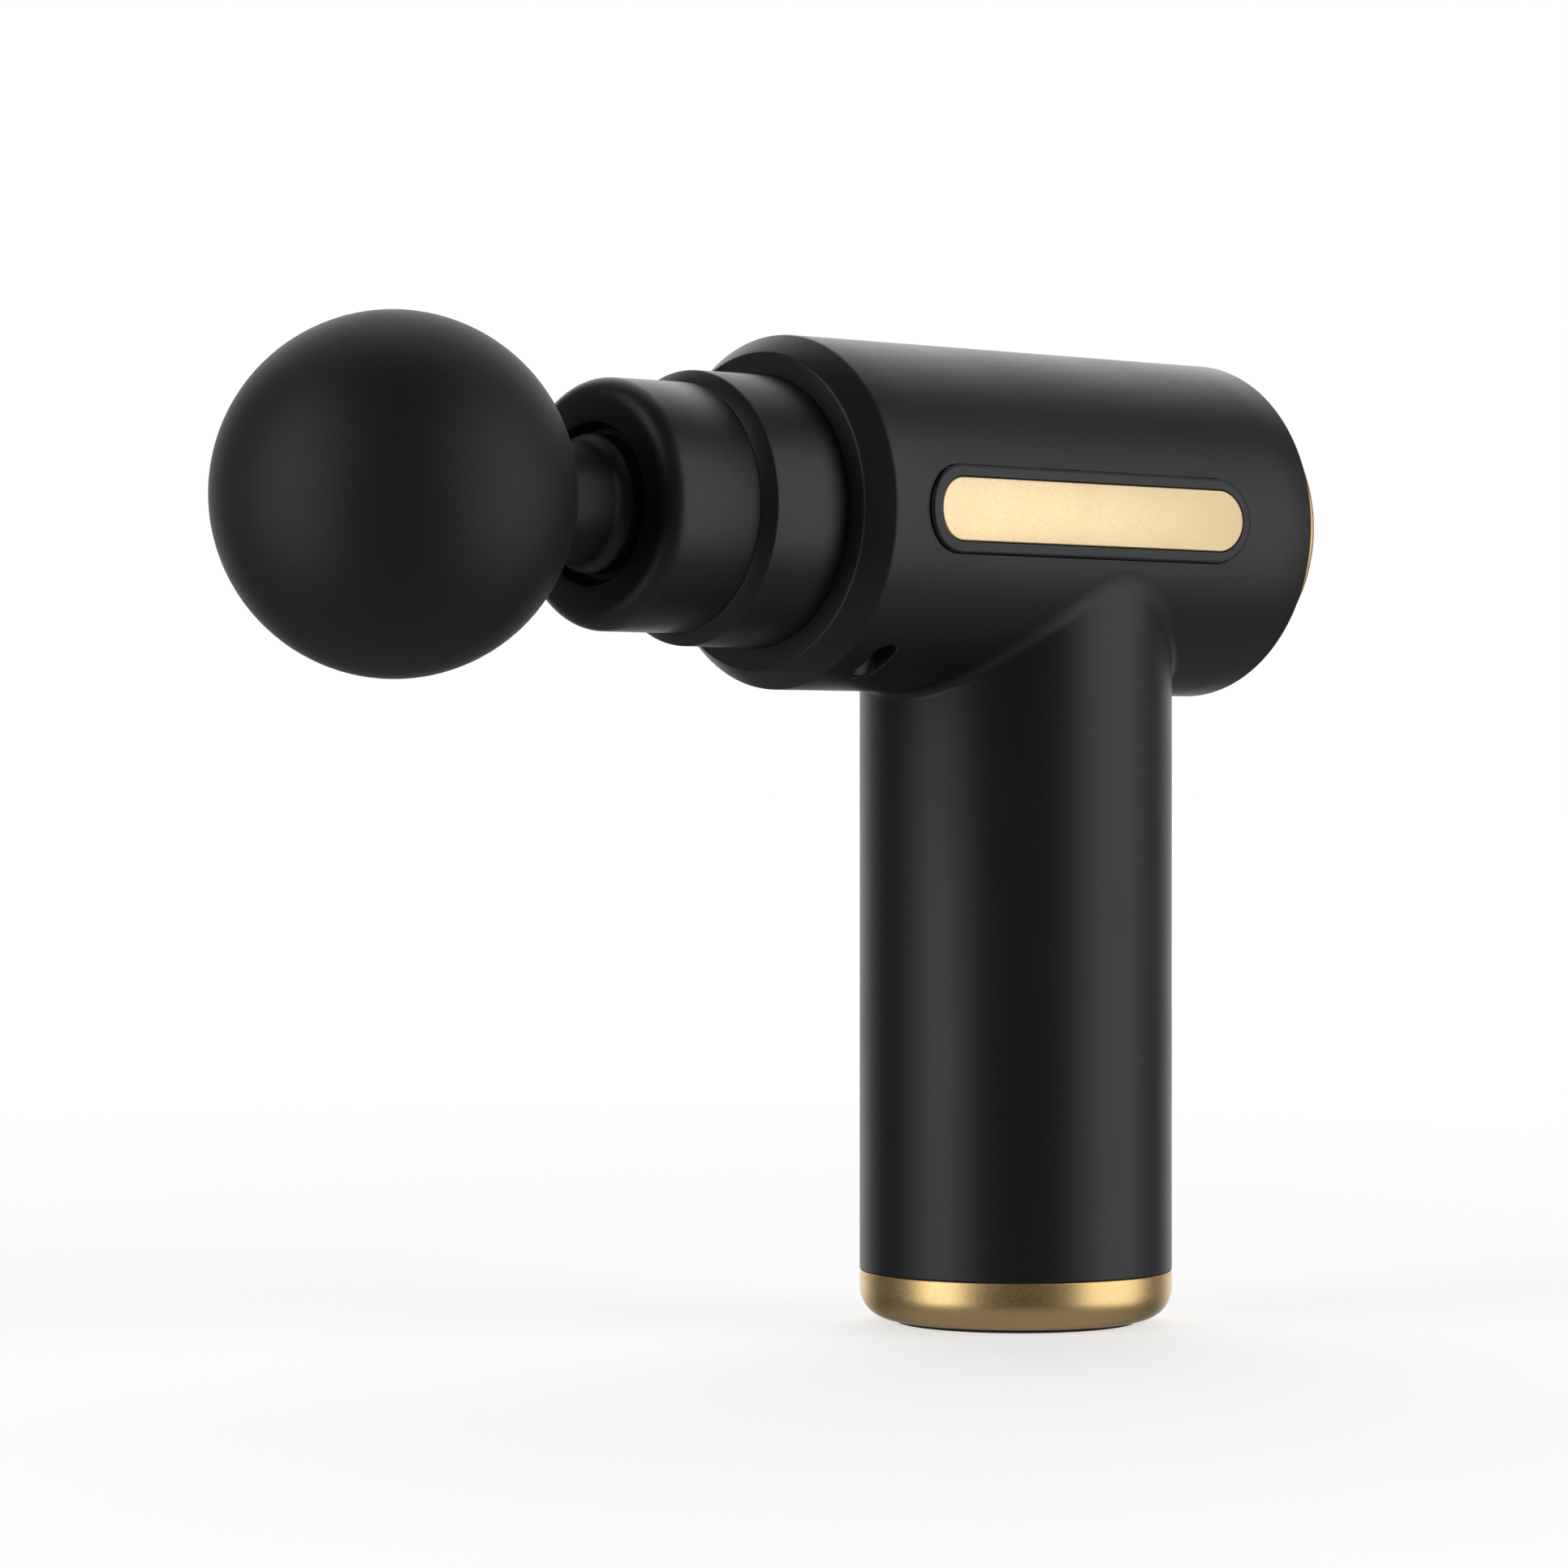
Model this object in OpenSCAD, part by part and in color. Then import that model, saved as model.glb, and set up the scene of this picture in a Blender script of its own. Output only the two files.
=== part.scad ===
// Compact T-shaped massage gun with a ball head, standing on its handle.
// Millimetres. +Z is up, the ball points to -Y, and +X is the gun's right side.
// The origin is the centre of the flat foot, on the axis of the handle.

/* [Housing] */
// Diameter of the barrel
barrel_d = 48; // [48:0.5:58]
// From the handle's axis forward to the barrel's front rim
barrel_front = 45.4; // [45:0.1:58]
// From the handle's axis back to the barrel's rear rim
barrel_rear = 35.5; // [35.5:0.1:48]
// Height of the barrel's axis above the floor
axis_h = 112.5; // [112.5:0.5:140]
// Diameter of the handle
handle_d = 44; // [43.8:0.1:46]
// Wall of the housing
wall = 2.2; // [1.8:0.1:2.4]
// Length of the bevel in front of the barrel's rim
bevel_l = 3.5; // [1:0.1:5]
// Radial depth of that bevel
bevel_r = 2.6; // [0.5:0.1:3]
// Thickness of the housing's front wall
front_wall = 2.5; // [1.5:0.1:3]

/* [Nose] */
// Diameter of the collar behind the nose cap
collar_d = 36.8; // [36:0.1:37.2]
// Length of the collar in front of the housing
collar_l = 12.6; // [8:0.1:18]
// Length of the collar's front bevel
collar_bevel = 1.5; // [0.5:0.1:2.5]
// Diameter of the nose cap
cap_d = 33.4; // [32.6:0.1:34]
// Length of the nose cap in front of the collar
cap_l = 15.2; // [12:0.1:22]
// Fillet round the nose cap's front edge
cap_fillet = 3; // [1:0.1:4]
// Diameter of the mouth that the plunger moves in
mouth_d = 21.3; // [20.8:0.1:22.4]
// Wall at the front of the nose cap
cap_wall = 2.5; // [1.5:0.1:3]

/* [Head] */
// Diameter of the ball
ball_d = 46.9; // [36:0.1:57]
// Thickness of the ball's rubber skin
skin_t = 1.4; // [1:0.1:4]
// Diameter of the neck behind the ball
neck_d = 16.8; // [13:0.1:17.4]
// Length of the neck between the ball and the nose
neck_l = 10.5; // [8:0.1:16]
// Diameter of the flange at the root of the neck
flange_d = 18; // [17:0.1:19.6]
// Thickness of that flange
flange_t = 2.3; // [1.5:0.1:4]
// Diameter of the spigot that plugs into the plunger
spigot_d = 15.6; // [14:0.1:15.8]
// Length of that spigot
spigot_l = 18; // [12:0.5:22]

/* [Drive] */
// Stroke of the plunger, end to end
stroke = 8; // [4:0.2:8]
// Diameter of the plunger
plunger_d = 19.8; // [18.6:0.1:20]
// Diameter of the roller on the crank's pin
roller_d = 8; // [6:0.1:8.4]
// Height of the yoke
yoke_h = 6; // [5:0.1:7]
// Diameter of the motor's rotor can
can_d = 34; // [30:0.5:34.6]
// Height of the rotor can
can_h = 14.5; // [14:0.1:15]
// Diameter of the motor's shaft
shaft_d = 4; // [3:0.1:4.4]
// Number of poles that the stator has
poles = 9; // [6:3:9]

/* [Battery] */
// Diameter of a cell
cell_d = 18.2; // [16:0.1:18.6]
// Length of a cell
cell_l = 65; // [50:0.5:65]

/* [Trim] */
// Length of the gold plate on each side
plate_l = 58.4; // [40:0.1:60]
// Width of that plate
plate_w = 8.75; // [6:0.05:12]
// Width of the black bezel round the plate
bezel_w = 1.65; // [1:0.05:2.4]
// Height of the bezel above the barrel
bezel_h = 0.6; // [0.2:0.05:1]
// From the handle's axis forward to the middle of the plate
plate_front = 8.55; // [6:0.05:10]
// Height of the gold base cap's top edge
base_h = 7.4; // [6.4:0.1:8]
// Fillet round the bottom of the base cap
base_fillet = 4.5; // [2:0.1:4.8]
// Height of the rubber foot below the base cap
foot_h = 0.5; // [0.3:0.1:1]
// Diameter of the gold rear cap
rear_cap_d = 39; // [34:0.5:42]
// Length of the rear cap behind the barrel
rear_cap_l = 6; // [4:0.1:9]
// Diameter of the power button
button_d = 14.8; // [12:0.1:16]
// Travel of the power button
button_travel = 0.5; // [0.3:0.05:0.6]
// Length of each wrist strap slot, round the barrel
slot_l = 8.8; // [6:0.1:10]
// Width of each slot, along the barrel
slot_w = 3.8; // [3:0.1:5]

/* [Fits] */
// Radial clearance of the plunger in its bushes and of the shaft in its bearings
run_fit = 0.05; // [0.02:0.01:0.1]
// Clearance between pieces that are pushed together
push_fit = 0.05; // [0.02:0.01:0.1]
// Gap between pieces that move past each other
gap = 0.3; // [0.2:0.05:0.5]

/* [Hidden] */

$fn = 96;
eps = 0.02;

black = "#1d1d1e";
gold = "#d9b777";
steel = "#b9bcc0";
nylon = "#3a3a3c";
board_green = "#1d5a3a";

// Housing, all along Y unless it says otherwise
barrel_r = barrel_d / 2;
bore_r = barrel_r - wall;
handle_r = handle_d / 2;
grip_bore_r = handle_r - wall;
rim_y = -barrel_front;
face_y = rim_y - bevel_l;
seat_y = face_y + front_wall;

// Nose
collar_r = collar_d / 2;
collar_y = face_y - collar_l;
cap_r = cap_d / 2;
cap_rear_y = collar_y - collar_bevel;
cap_y = cap_rear_y - cap_l;
mouth_r = mouth_d / 2;
collar_flange = 2;
collar_spigot_l = 7;
cap_spigot_r = cap_r - 1.2;

// Plunger and the sleeve that guides it
plunger_r = plunger_d / 2;
plunger_y = cap_y + flange_t;
bush_t = 1.95;
bush_r = plunger_r + run_fit + bush_t;
bush_front_l = 8;
bush_rear_l = 10;
sleeve_r = bush_r + 2.3;
sleeve_y = cap_y + cap_wall + 0.8;
sleeve_flange_y = seat_y + collar_flange;
sleeve_flange_t = 3;
sleeve_rear_y = -26;
nose_screw_r = collar_r + 1.4;

// Head
ball_r = ball_d / 2;
neck_r = neck_d / 2;
flange_r = flange_d / 2;
spigot_r = spigot_d / 2;
ball_y = cap_y - neck_l - sqrt(ball_r * ball_r - neck_r * neck_r);
core_r = ball_r - skin_t;
insert_r = 5;
insert_l = 14;
ring_r = 0.8;
ring_inner_r = spigot_r - 2 * ring_r + 0.03;
ring_at = [6, 13];
stem_bore_r = 4.8;

// Crank and yoke. The crank turns a quarter turn each way while the plunger goes from the middle of
// its stroke to an end, so half way there the pin leads the yoke by the share below.
throw = stroke / 2;
lead_share = 0.2106;
roller_r = roller_d / 2;
slot_half_y = roller_r + throw * lead_share + gap;
slot_half_x = roller_r + throw + 2 * gap;
yoke_wall = 4.5;
yoke_front_y = -(slot_half_y + yoke_wall + 4.4);
yoke_rear_y = slot_half_y + yoke_wall;
yoke_half_x = slot_half_x + 3.9;
yoke_spigot_r = 5.9;
yoke_spigot_l = 10;
yoke_pin_r = 1.5;
crank_r = 9;
crank_t = 4;
crank_top = axis_h - yoke_h / 2 - 1;
crank_pin_r = 1.8;
roller_h = yoke_h - 1;
roller_z = axis_h - roller_h / 2 - 0.1;
clip_t = 0.6;

// Motor, hung under its mount at the top of the handle
mount_t = 3;
mount_top = axis_h - plunger_r - 0.8;
mount_z = mount_top - mount_t;
mount_r = grip_bore_r - gap;
mount_screw_x = 16;
mount_screw_y = 6.5;
lug_l = 10.8;
lug_w = 5.2;
lug_h = 6;
base_plate_t = 3;
base_plate_z = mount_z - base_plate_t;
base_plate_r = can_d / 2 - 1.5;
can_top = base_plate_z - 0.5;
can_z = can_top - can_h;
can_wall = 1.4;
can_floor = 1.5;
vent_r = 2.4;
vent_x = (can_d / 2 + shaft_d / 2) / 2;
magnet_t = 1.4;
magnet_count = 12;
shaft_r = shaft_d / 2;
bearing_r = shaft_r + 2;
bearing_t = 3;
post_r = bearing_r + 1.6;
stator_r = can_d / 2 - can_wall - magnet_t - 0.6;
stator_h = can_h - can_floor - 4;
stator_z = can_z + can_floor + 2.2;
coil_over = 1.2;
hub_r = post_r + 1.4;
tooth_w = 2.4;
coil_t = 1.1;
tip_l = 1.7;
motor_screw_r = 9.2;

// Battery pack
cell_r = cell_d / 2;
cell_x = cell_r + 0.2;
base_spigot_h = 1.8;
holder_z = base_h + base_spigot_h + 0.4;
holder_t = 2;
tab_t = 0.25;
cell_z = holder_z + holder_t + tab_t;
holder_top_z = cell_z + cell_l + tab_t;
holder_r = grip_bore_r - 0.4;
boss_y = handle_r - 7.2;
boss_r = 3;
boss_z = base_h + base_spigot_h + 0.1;
boss_top = base_h + base_spigot_h + 7;
wall_reach = 8;
spine_w = 2.4;
spine_x = boss_r + gap + spine_w / 2 + 0.3;

// Charging socket, in the back of the handle
port_z = 24;
port_w = 8.94;
port_h = 3.26;
board_y = cell_r + 1.9;
board_t = 1.2;
board_w = 18;
board_l = 38;
board_z = 17;

// Rear of the barrel
cover_t = 2.2;
cover_skirt = 8.5;
cover_y = barrel_rear - cover_t;
cover_opening_r = 13.95;
rear_cap_r = rear_cap_d / 2;
rear_cap_wall = 2.2;
rear_cap_fillet = 1;
rear_face_y = barrel_rear + rear_cap_l;
button_r = button_d / 2;
button_out = 0.8;
ring_w = 1.5;
ring_depth = 1.6;
pcb_t = 1.6;
pcb_y = cover_y - 4.2 - pcb_t;
pcb_r = bore_r - 2.4;
pcb_screw_r = 16.8;
lamp_ring_r = 8.4;
switch_h = 3.3;
switch_top_y = pcb_y + pcb_t + switch_h + 0.7;
shank_y = switch_top_y + button_travel + gap;

// Strap slots, low on both sides of the barrel's front
slot_y = rim_y + 6.8;
slot_angle = -59.5;

// How deep the side trim is let into the barrel
bezel_depth = 1.1;
plate_depth = 0.4;

// Screws: radius of the thread, of the head, and height of the head
screw_r = 1;
head_r = 1.7;
head_h = 1.4;

// Leads: the points that each one follows, and their radius
lead_r = 0.7;
motor_lead_x = [-3.5, 0, 3.5];
motor_lead_y = 11;
motor_lead_path = [[motor_lead_y, stator_z + stator_h + coil_over], [motor_lead_y, mount_z - 1],
                   [motor_lead_y, mount_top - 0.8], [12.5, mount_top + 1.7], [16, mount_top + 2.7],
                   [21, mount_top + 2.7], [pcb_y, mount_top + 2.7]];
// a slot through the motor's plate, or a notch in its edge where the plate is too small for a slot
motor_lead_slot = base_plate_r - motor_lead_y > 2.7 ? 2.4 : base_plate_r;
battery_lead_x = [-6, 6];
battery_lead_y = 17.5;
battery_lead_path = [[3, holder_top_z + 0.7], [10, holder_top_z + 0.9], [14.5, holder_top_z + 1.2],
                     [battery_lead_y - 0.7, holder_top_z + 2.7], [battery_lead_y, holder_top_z + 5.4],
                     [battery_lead_y, mount_z - 9], [battery_lead_y, mount_z - 1], [18.2, mount_top - 1.3],
                     [20.5, mount_top - 0.3], [24, mount_top - 0.3], [pcb_y, mount_top - 0.3]];

// ---- shared shapes ----

// A solid of revolution about the barrel's axis: the profile's x is the radius, its y is the world's Y.
module lathe() translate([0, 0, axis_h]) rotate([-90, 0, 0]) rotate_extrude() children();

// A round bar about the barrel's axis.
module bar(r, y0, y1) translate([0, y0, axis_h]) rotate([-90, 0, 0]) cylinder(r = r, h = y1 - y0);

// A round bar about the handle's axis.
module post(r, z0, z1) translate([0, 0, z0]) cylinder(r = r, h = z1 - z0);

// A pill: a rectangle with round ends, along x.
module pill(l, w) {
    square([l - w, w], center = true);
    for (s = [-1, 1]) translate([s * (l - w) / 2, 0]) circle(d = w);
}

// A rectangle with round corners.
module round_rect(x0, y0, x1, y1, r) {
    translate([x0 + r, y0]) square([x1 - x0 - 2 * r, y1 - y0]);
    translate([x0, y0 + r]) square([x1 - x0, y1 - y0 - 2 * r]);
    for (x = [x0 + r, x1 - r], y = [y0 + r, y1 - r]) translate([x, y]) circle(r);
}

// What lies between two radii of the barrel, within a pill on the right side.
module shell_pill(l, w, r0, r1) intersection() {
    difference() {
        bar(r1, -plate_front - l, -plate_front + l);
        bar(r0, -plate_front - l - 1, -plate_front + l + 1);
    }
    translate([0, -plate_front, axis_h]) rotate([90, 0, 90]) linear_extrude(2 * barrel_r) pill(l, w);
}

// A screw along +Z: its head hangs below the origin.
module screw(l) {
    cylinder(r = screw_r, h = l, $fn = 24);
    translate([0, 0, -head_h]) difference() {
        cylinder(r = head_r, h = head_h, $fn = 32);
        translate([0, 0, -eps]) cylinder(r = 0.9, h = 0.8, $fn = 6);
    }
}

// A round lead along a route in the YZ plane at one x.
function unit(v) = v / norm(v);
function heading(p, i) = unit(p[min(i + 1, len(p) - 1)] - p[max(i - 1, 0)]);
module lead(x, path, sides = 8) {
    n = len(path);
    points = [for (i = [0:n - 1], k = [0:sides - 1])
        let (t = heading(path, i), a = 360 * k / sides)
        [x + lead_r * cos(a), path[i][0] - t[1] * lead_r * sin(a), path[i][1] + t[0] * lead_r * sin(a)]];
    walls = [for (i = [0:n - 2], k = [0:sides - 1])
        [i * sides + k, i * sides + (k + 1) % sides, (i + 1) * sides + (k + 1) % sides, (i + 1) * sides + k]];
    first = [for (k = [sides - 1:-1:0]) k];
    last = [for (k = [0:sides - 1]) (n - 1) * sides + k];
    polyhedron(points, concat([first], walls, [last]), convexity = 6);
}

// ---- head ----

module ball_skin() color(black) lathe() difference() {
    half_disc(ball_r);
    half_disc(core_r);
    translate([0, ball_y]) square([neck_r, ball_r + 1]);
}

module ball_core() color("#2c2c2e") lathe() difference() {
    half_disc(core_r);
    translate([0, ball_y + insert_l]) square([neck_r, ball_r]);
    translate([0, ball_y]) square([insert_r, ball_r]);
}

// Half of a disc about the middle of the ball: a ball once it is turned about the barrel's axis.
module half_disc(r) intersection() {
    translate([0, ball_y]) circle(r);
    translate([0, ball_y - r - 1]) square([r + 1, 2 * r + 2]);
}

module head_stem() color(black) lathe() difference() {
    union() {
        translate([0, ball_y]) square([insert_r, insert_l + eps]);
        translate([0, ball_y + insert_l]) square([neck_r, cap_y - ball_y - insert_l]);
        difference() {
            translate([0, cap_y - 1.6]) square([flange_r, 1.6 + flange_t]);
            translate([flange_r, cap_y - 1.6]) circle(flange_r - neck_r);
        }
        translate([0, cap_y + flange_t - eps]) square([spigot_r, spigot_l + eps]);
    }
    for (y = ring_at) translate([ring_inner_r - push_fit, plunger_y + y - ring_r - push_fit])
        square([spigot_r, 2 * ring_r + 2 * push_fit]);
    translate([0, ball_y + insert_l]) square([stem_bore_r, neck_l + ball_r + spigot_l]);
}

module stem_o_rings() color("#111111") for (y = ring_at) lathe()
    translate([ring_inner_r + ring_r, plunger_y + y]) circle(ring_r, $fn = 32);

// ---- plunger, yoke and crank ----

module plunger() color(black) difference() {
    bar(plunger_r, plunger_y, yoke_front_y);
    bar(spigot_r + push_fit, plunger_y - 1, yoke_front_y - yoke_spigot_l - 2);
    bar(yoke_spigot_r + push_fit, yoke_front_y - yoke_spigot_l - 0.5, yoke_front_y + 1);
    cross_pin(plunger_d);
}

module yoke() color(nylon) difference() {
    union() {
        translate([0, 0, axis_h - yoke_h / 2]) linear_extrude(yoke_h)
            round_rect(-yoke_half_x, yoke_front_y, yoke_half_x, yoke_rear_y, 3);
        bar(yoke_spigot_r, yoke_front_y - yoke_spigot_l, yoke_front_y + 1);
    }
    translate([0, 0, axis_h - yoke_h]) linear_extrude(2 * yoke_h)
        round_rect(-slot_half_x, -slot_half_y, slot_half_x, slot_half_y, 2);
    cross_pin(plunger_d);
}

module yoke_pin() color(steel) cross_pin(plunger_d - 2);

// A pin of one length across the plunger, through the yoke's spigot.
module cross_pin(l) translate([-l / 2, yoke_front_y - yoke_spigot_l / 2, axis_h]) rotate([0, 90, 0])
    cylinder(r = yoke_pin_r, h = l);

// A disc with its pin, cut away beside the pin so that the rest balances it.
module crank() color(steel) difference() {
    union() {
        post(crank_r, crank_top - crank_t, crank_top);
        translate([throw, 0, crank_top - eps]) cylinder(r = 3, h = roller_z - crank_top);
        translate([throw, 0, crank_top - eps])
            cylinder(r = crank_pin_r, h = roller_z + roller_h + 1.1 - crank_top);
    }
    post(shaft_r, crank_top - crank_t - 1, crank_top - 1);
    for (s = [-1, 1]) translate([6, s * 6, crank_top - crank_t - 1]) cylinder(r = 2.2, h = crank_t + 2);
}

module crank_roller() color("#d8dadd") translate([throw, 0, roller_z]) difference() {
    cylinder(r = roller_r, h = roller_h);
    translate([0, 0, -1]) cylinder(r = crank_pin_r + run_fit, h = roller_h + 2);
}

module crank_clip() color("#4a4d52") translate([throw, 0, roller_z + roller_h + 0.15]) difference() {
    cylinder(r = crank_pin_r + 1.5, h = clip_t, $fn = 48);
    translate([0, 0, -1]) cylinder(r = crank_pin_r, h = clip_t + 2);
    translate([0, -0.9, -1]) cube([5, 1.8, clip_t + 2]);
}

// ---- nose ----

module guide_sleeve() color(nylon) difference() {
    union() {
        bar(sleeve_r, sleeve_y, sleeve_rear_y);
        bar(bore_r - 0.5, sleeve_flange_y, sleeve_flange_y + sleeve_flange_t);
    }
    bar(plunger_r + 0.4, sleeve_y - 1, sleeve_rear_y + 1);
    bar(bush_r, sleeve_y - 1, sleeve_y + bush_front_l);
    bar(bush_r, sleeve_rear_y - bush_rear_l, sleeve_rear_y + 1);
    nose_screw_holes(screw_r + 0.1, sleeve_flange_y - 1, sleeve_flange_y + sleeve_flange_t + 1);
}

module nose_screw_holes(r, y0, y1) for (a = [0, 90, 180, 270])
    translate([nose_screw_r * cos(a), y0, axis_h + nose_screw_r * sin(a)])
        rotate([-90, 0, 0]) cylinder(r = r, h = y1 - y0, $fn = 24);

module bush(y, l) lathe() translate([plunger_r + run_fit, y]) square([bush_t, l]);

module guide_bush_front() color("#b08a4a") bush(sleeve_y, bush_front_l);

module guide_bush_rear() color("#b08a4a") bush(sleeve_rear_y - bush_rear_l, bush_rear_l);

module wiper_seal() color("#101011") lathe()
    translate([plunger_r + 0.2, cap_y + cap_wall + push_fit]) square([cap_spigot_r - 1.4 - plunger_r, 0.7]);

module nose_cap() color(black) lathe() difference() {
    union() {
        translate([0, cap_y]) square([cap_r - cap_fillet, cap_l]);
        translate([0, cap_y + cap_fillet]) square([cap_r, cap_l - cap_fillet]);
        translate([cap_r - cap_fillet, cap_y + cap_fillet]) circle(cap_fillet);
        translate([0, cap_rear_y - eps]) square([cap_spigot_r, collar_spigot_l]);
    }
    translate([0, cap_y - 1]) square([mouth_r, cap_l]);
    translate([0, cap_y + cap_wall]) square([cap_spigot_r - 1, cap_l + collar_spigot_l]);
}

module nose_collar() color(black) difference() {
    lathe() difference() {
        union() {
            polygon([[0, cap_rear_y], [cap_r, cap_rear_y], [collar_r, collar_y],
                     [collar_r, seat_y + eps], [0, seat_y + eps]]);
            translate([0, seat_y]) square([bore_r - 0.5, collar_flange]);
        }
        translate([0, cap_rear_y - 1]) square([cap_spigot_r + push_fit, collar_spigot_l + 1]);
        translate([0, cap_rear_y]) square([sleeve_r + gap, barrel_front]);
    }
    nose_screw_holes(screw_r + 0.1, seat_y - 1, seat_y + collar_flange + 1);
}

module nose_screws() color(steel) for (a = [0, 90, 180, 270])
    translate([nose_screw_r * cos(a), sleeve_flange_y + sleeve_flange_t, axis_h + nose_screw_r * sin(a)])
        rotate([90, 0, 0]) screw(sleeve_flange_t + collar_flange + 1.8);

// ---- housing and trim ----

module housing() color(black) difference() {
    union() {
        housing_outside();
        // lugs that the motor mount is screwed up to
        intersection() {
            bar(bore_r + 1, rim_y, barrel_rear);
            for (sx = [-1, 1], sy = [-1, 1])
                translate([sx * (mount_screw_x + 3) - lug_l / 2, sy * mount_screw_y - lug_w / 2, mount_top])
                    cube([lug_l, lug_w, lug_h]);
        }
        // bosses that the base cap is screwed up to
        intersection() {
            post(grip_bore_r + 1, 0, axis_h);
            for (s = [-1, 1]) translate([0, s * boss_y, boss_z]) {
                cylinder(r = boss_r, h = boss_top - boss_z);
                translate([-boss_r, s > 0 ? 0 : -wall_reach, 0])
                    cube([2 * boss_r, wall_reach, boss_top - boss_z]);
            }
        }
    }
    mount_screw_holes(screw_r, mount_top - 1, mount_top + 5);
    for (s = [-1, 1]) translate([0, s * boss_y, base_h])
        cylinder(r = screw_r, h = boss_top - base_h - 1, $fn = 24);
    nose_screw_holes(screw_r, seat_y - 1.9, seat_y + 1);
    // pockets for the side trim
    for (m = [0, 1]) mirror([m, 0, 0])
        shell_pill(plate_l + 2 * bezel_w, plate_w + 2 * bezel_w, barrel_r - bezel_depth, barrel_r + 2);
    strap_slots();
    translate([0, grip_bore_r - 4, port_z]) rotate([-90, 0, 0]) linear_extrude(10)
        pill(port_w + 2 * gap, port_h + 2 * gap);
}

module housing_outside() difference() {
    union() {
        bar(barrel_r, rim_y, barrel_rear);
        lathe() polygon([[0, face_y], [barrel_r - bevel_r, face_y], [barrel_r, rim_y], [0, rim_y]]);
        post(handle_r, base_h, axis_h);
    }
    bar(bore_r, seat_y, barrel_rear + 1);
    bar(collar_r + push_fit, face_y - 1, seat_y + 1);
    post(grip_bore_r, base_h - 1, axis_h);
}

module strap_slots() for (a = [slot_angle, 180 - slot_angle])
    translate([0, slot_y, axis_h]) rotate([0, -a, 0]) rotate([0, 90, 0])
        translate([0, 0, bore_r - 3]) linear_extrude(8) pill(slot_l, slot_w);

module side_bezel() color("#232324") difference() {
    shell_pill(plate_l + 2 * bezel_w, plate_w + 2 * bezel_w, barrel_r - bezel_depth, barrel_r + bezel_h);
    shell_pill(plate_l + 2 * push_fit, plate_w + 2 * push_fit, barrel_r - plate_depth, barrel_r + bezel_h + 2);
}

module side_plate() color(gold) shell_pill(plate_l, plate_w, barrel_r - plate_depth, barrel_r + bezel_h);

module side_bezel_right() side_bezel();
module side_bezel_left() mirror([1, 0, 0]) side_bezel();
module side_plate_right() side_plate();
module side_plate_left() mirror([1, 0, 0]) side_plate();

module rear_cover() color(black) difference() {
    union() {
        lathe() difference() {
            translate([0, barrel_rear - cover_skirt]) square([bore_r - push_fit, cover_skirt]);
            translate([0, barrel_rear - cover_skirt - 1]) square([bore_r - 1.9, cover_skirt - cover_t + 1]);
        }
        for (a = [90, 210, 330])
            translate([pcb_screw_r * cos(a), pcb_y + pcb_t, axis_h + pcb_screw_r * sin(a)])
                rotate([-90, 0, 0]) cylinder(r = 2.4, h = cover_y - pcb_y - pcb_t + eps);
    }
    bar(cover_opening_r, cover_y - 1, barrel_rear + 1);
    pcb_screw_holes(screw_r, pcb_y, pcb_y + pcb_t + 4);
}

module pcb_screw_holes(r, y0, y1) for (a = [90, 210, 330])
    translate([pcb_screw_r * cos(a), y0, axis_h + pcb_screw_r * sin(a)])
        rotate([-90, 0, 0]) cylinder(r = r, h = y1 - y0, $fn = 24);

module rear_cap() color(gold) lathe() difference() {
    union() {
        translate([0, barrel_rear]) square([rear_cap_r, rear_cap_l - rear_cap_fillet]);
        translate([0, barrel_rear]) square([rear_cap_r - rear_cap_fillet, rear_cap_l]);
        translate([rear_cap_r - rear_cap_fillet, rear_face_y - rear_cap_fillet]) circle(rear_cap_fillet);
        translate([0, cover_y - 1.5]) square([cover_opening_r - push_fit, cover_t + 1.5 + eps]);
    }
    translate([0, cover_y - 2]) square([cover_opening_r - 1.6, rear_face_y - rear_cap_wall - cover_y + 2]);
    translate([0, cover_y]) square([button_r + gap, rear_cap_l + 5]);
    translate([0, rear_face_y - ring_depth]) square([button_r + gap + ring_w, 3]);
}

module power_button() color(gold) lathe() {
    translate([0, shank_y]) square([2.2, rear_face_y - shank_y]);
    translate([0, rear_face_y - rear_cap_wall - 1.5]) square([button_r + 1.2, 1.5 - gap]);
    translate([0, rear_face_y - rear_cap_wall - 1]) square([button_r, rear_cap_wall + 1 + button_out - 0.4]);
    translate([0, rear_face_y]) square([button_r - 0.4, button_out]);
    translate([button_r - 0.4, rear_face_y + button_out - 0.4]) circle(0.4, $fn = 32);
}

module button_light_ring() color("#e8eef2") lathe()
    translate([button_r + gap, rear_face_y - ring_depth]) square([ring_w - push_fit, ring_depth]);

module control_board() color(board_green) difference() {
    bar(pcb_r, pcb_y, pcb_y + pcb_t);
    pcb_screw_holes(screw_r + 0.1, pcb_y - 1, pcb_y + pcb_t + 1);
}

// Driver transistors and the controller on the board's front, indicator lamps round the switch.
module control_board_chips() color("#26282b") {
    for (x = [-10.5, -3.5, 3.5], z = [2, 9]) translate([x, pcb_y - 1.1, axis_h + z]) cube([5, 1.1, 5]);
    translate([-4, pcb_y - 1.4, axis_h - 6.5]) cube([7, 1.4, 7]);
    for (a = [0:45:315])
        translate([lamp_ring_r * cos(a) - 0.8, pcb_y + pcb_t, axis_h + lamp_ring_r * sin(a) - 0.8])
            cube([1.6, 0.8, 1.6]);
}

module tact_switch() color("#2a2a2c") {
    translate([-3, pcb_y + pcb_t, axis_h - 3]) cube([6, switch_h, 6]);
    bar(1.7, pcb_y + pcb_t + switch_h - eps, switch_top_y);
}

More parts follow.
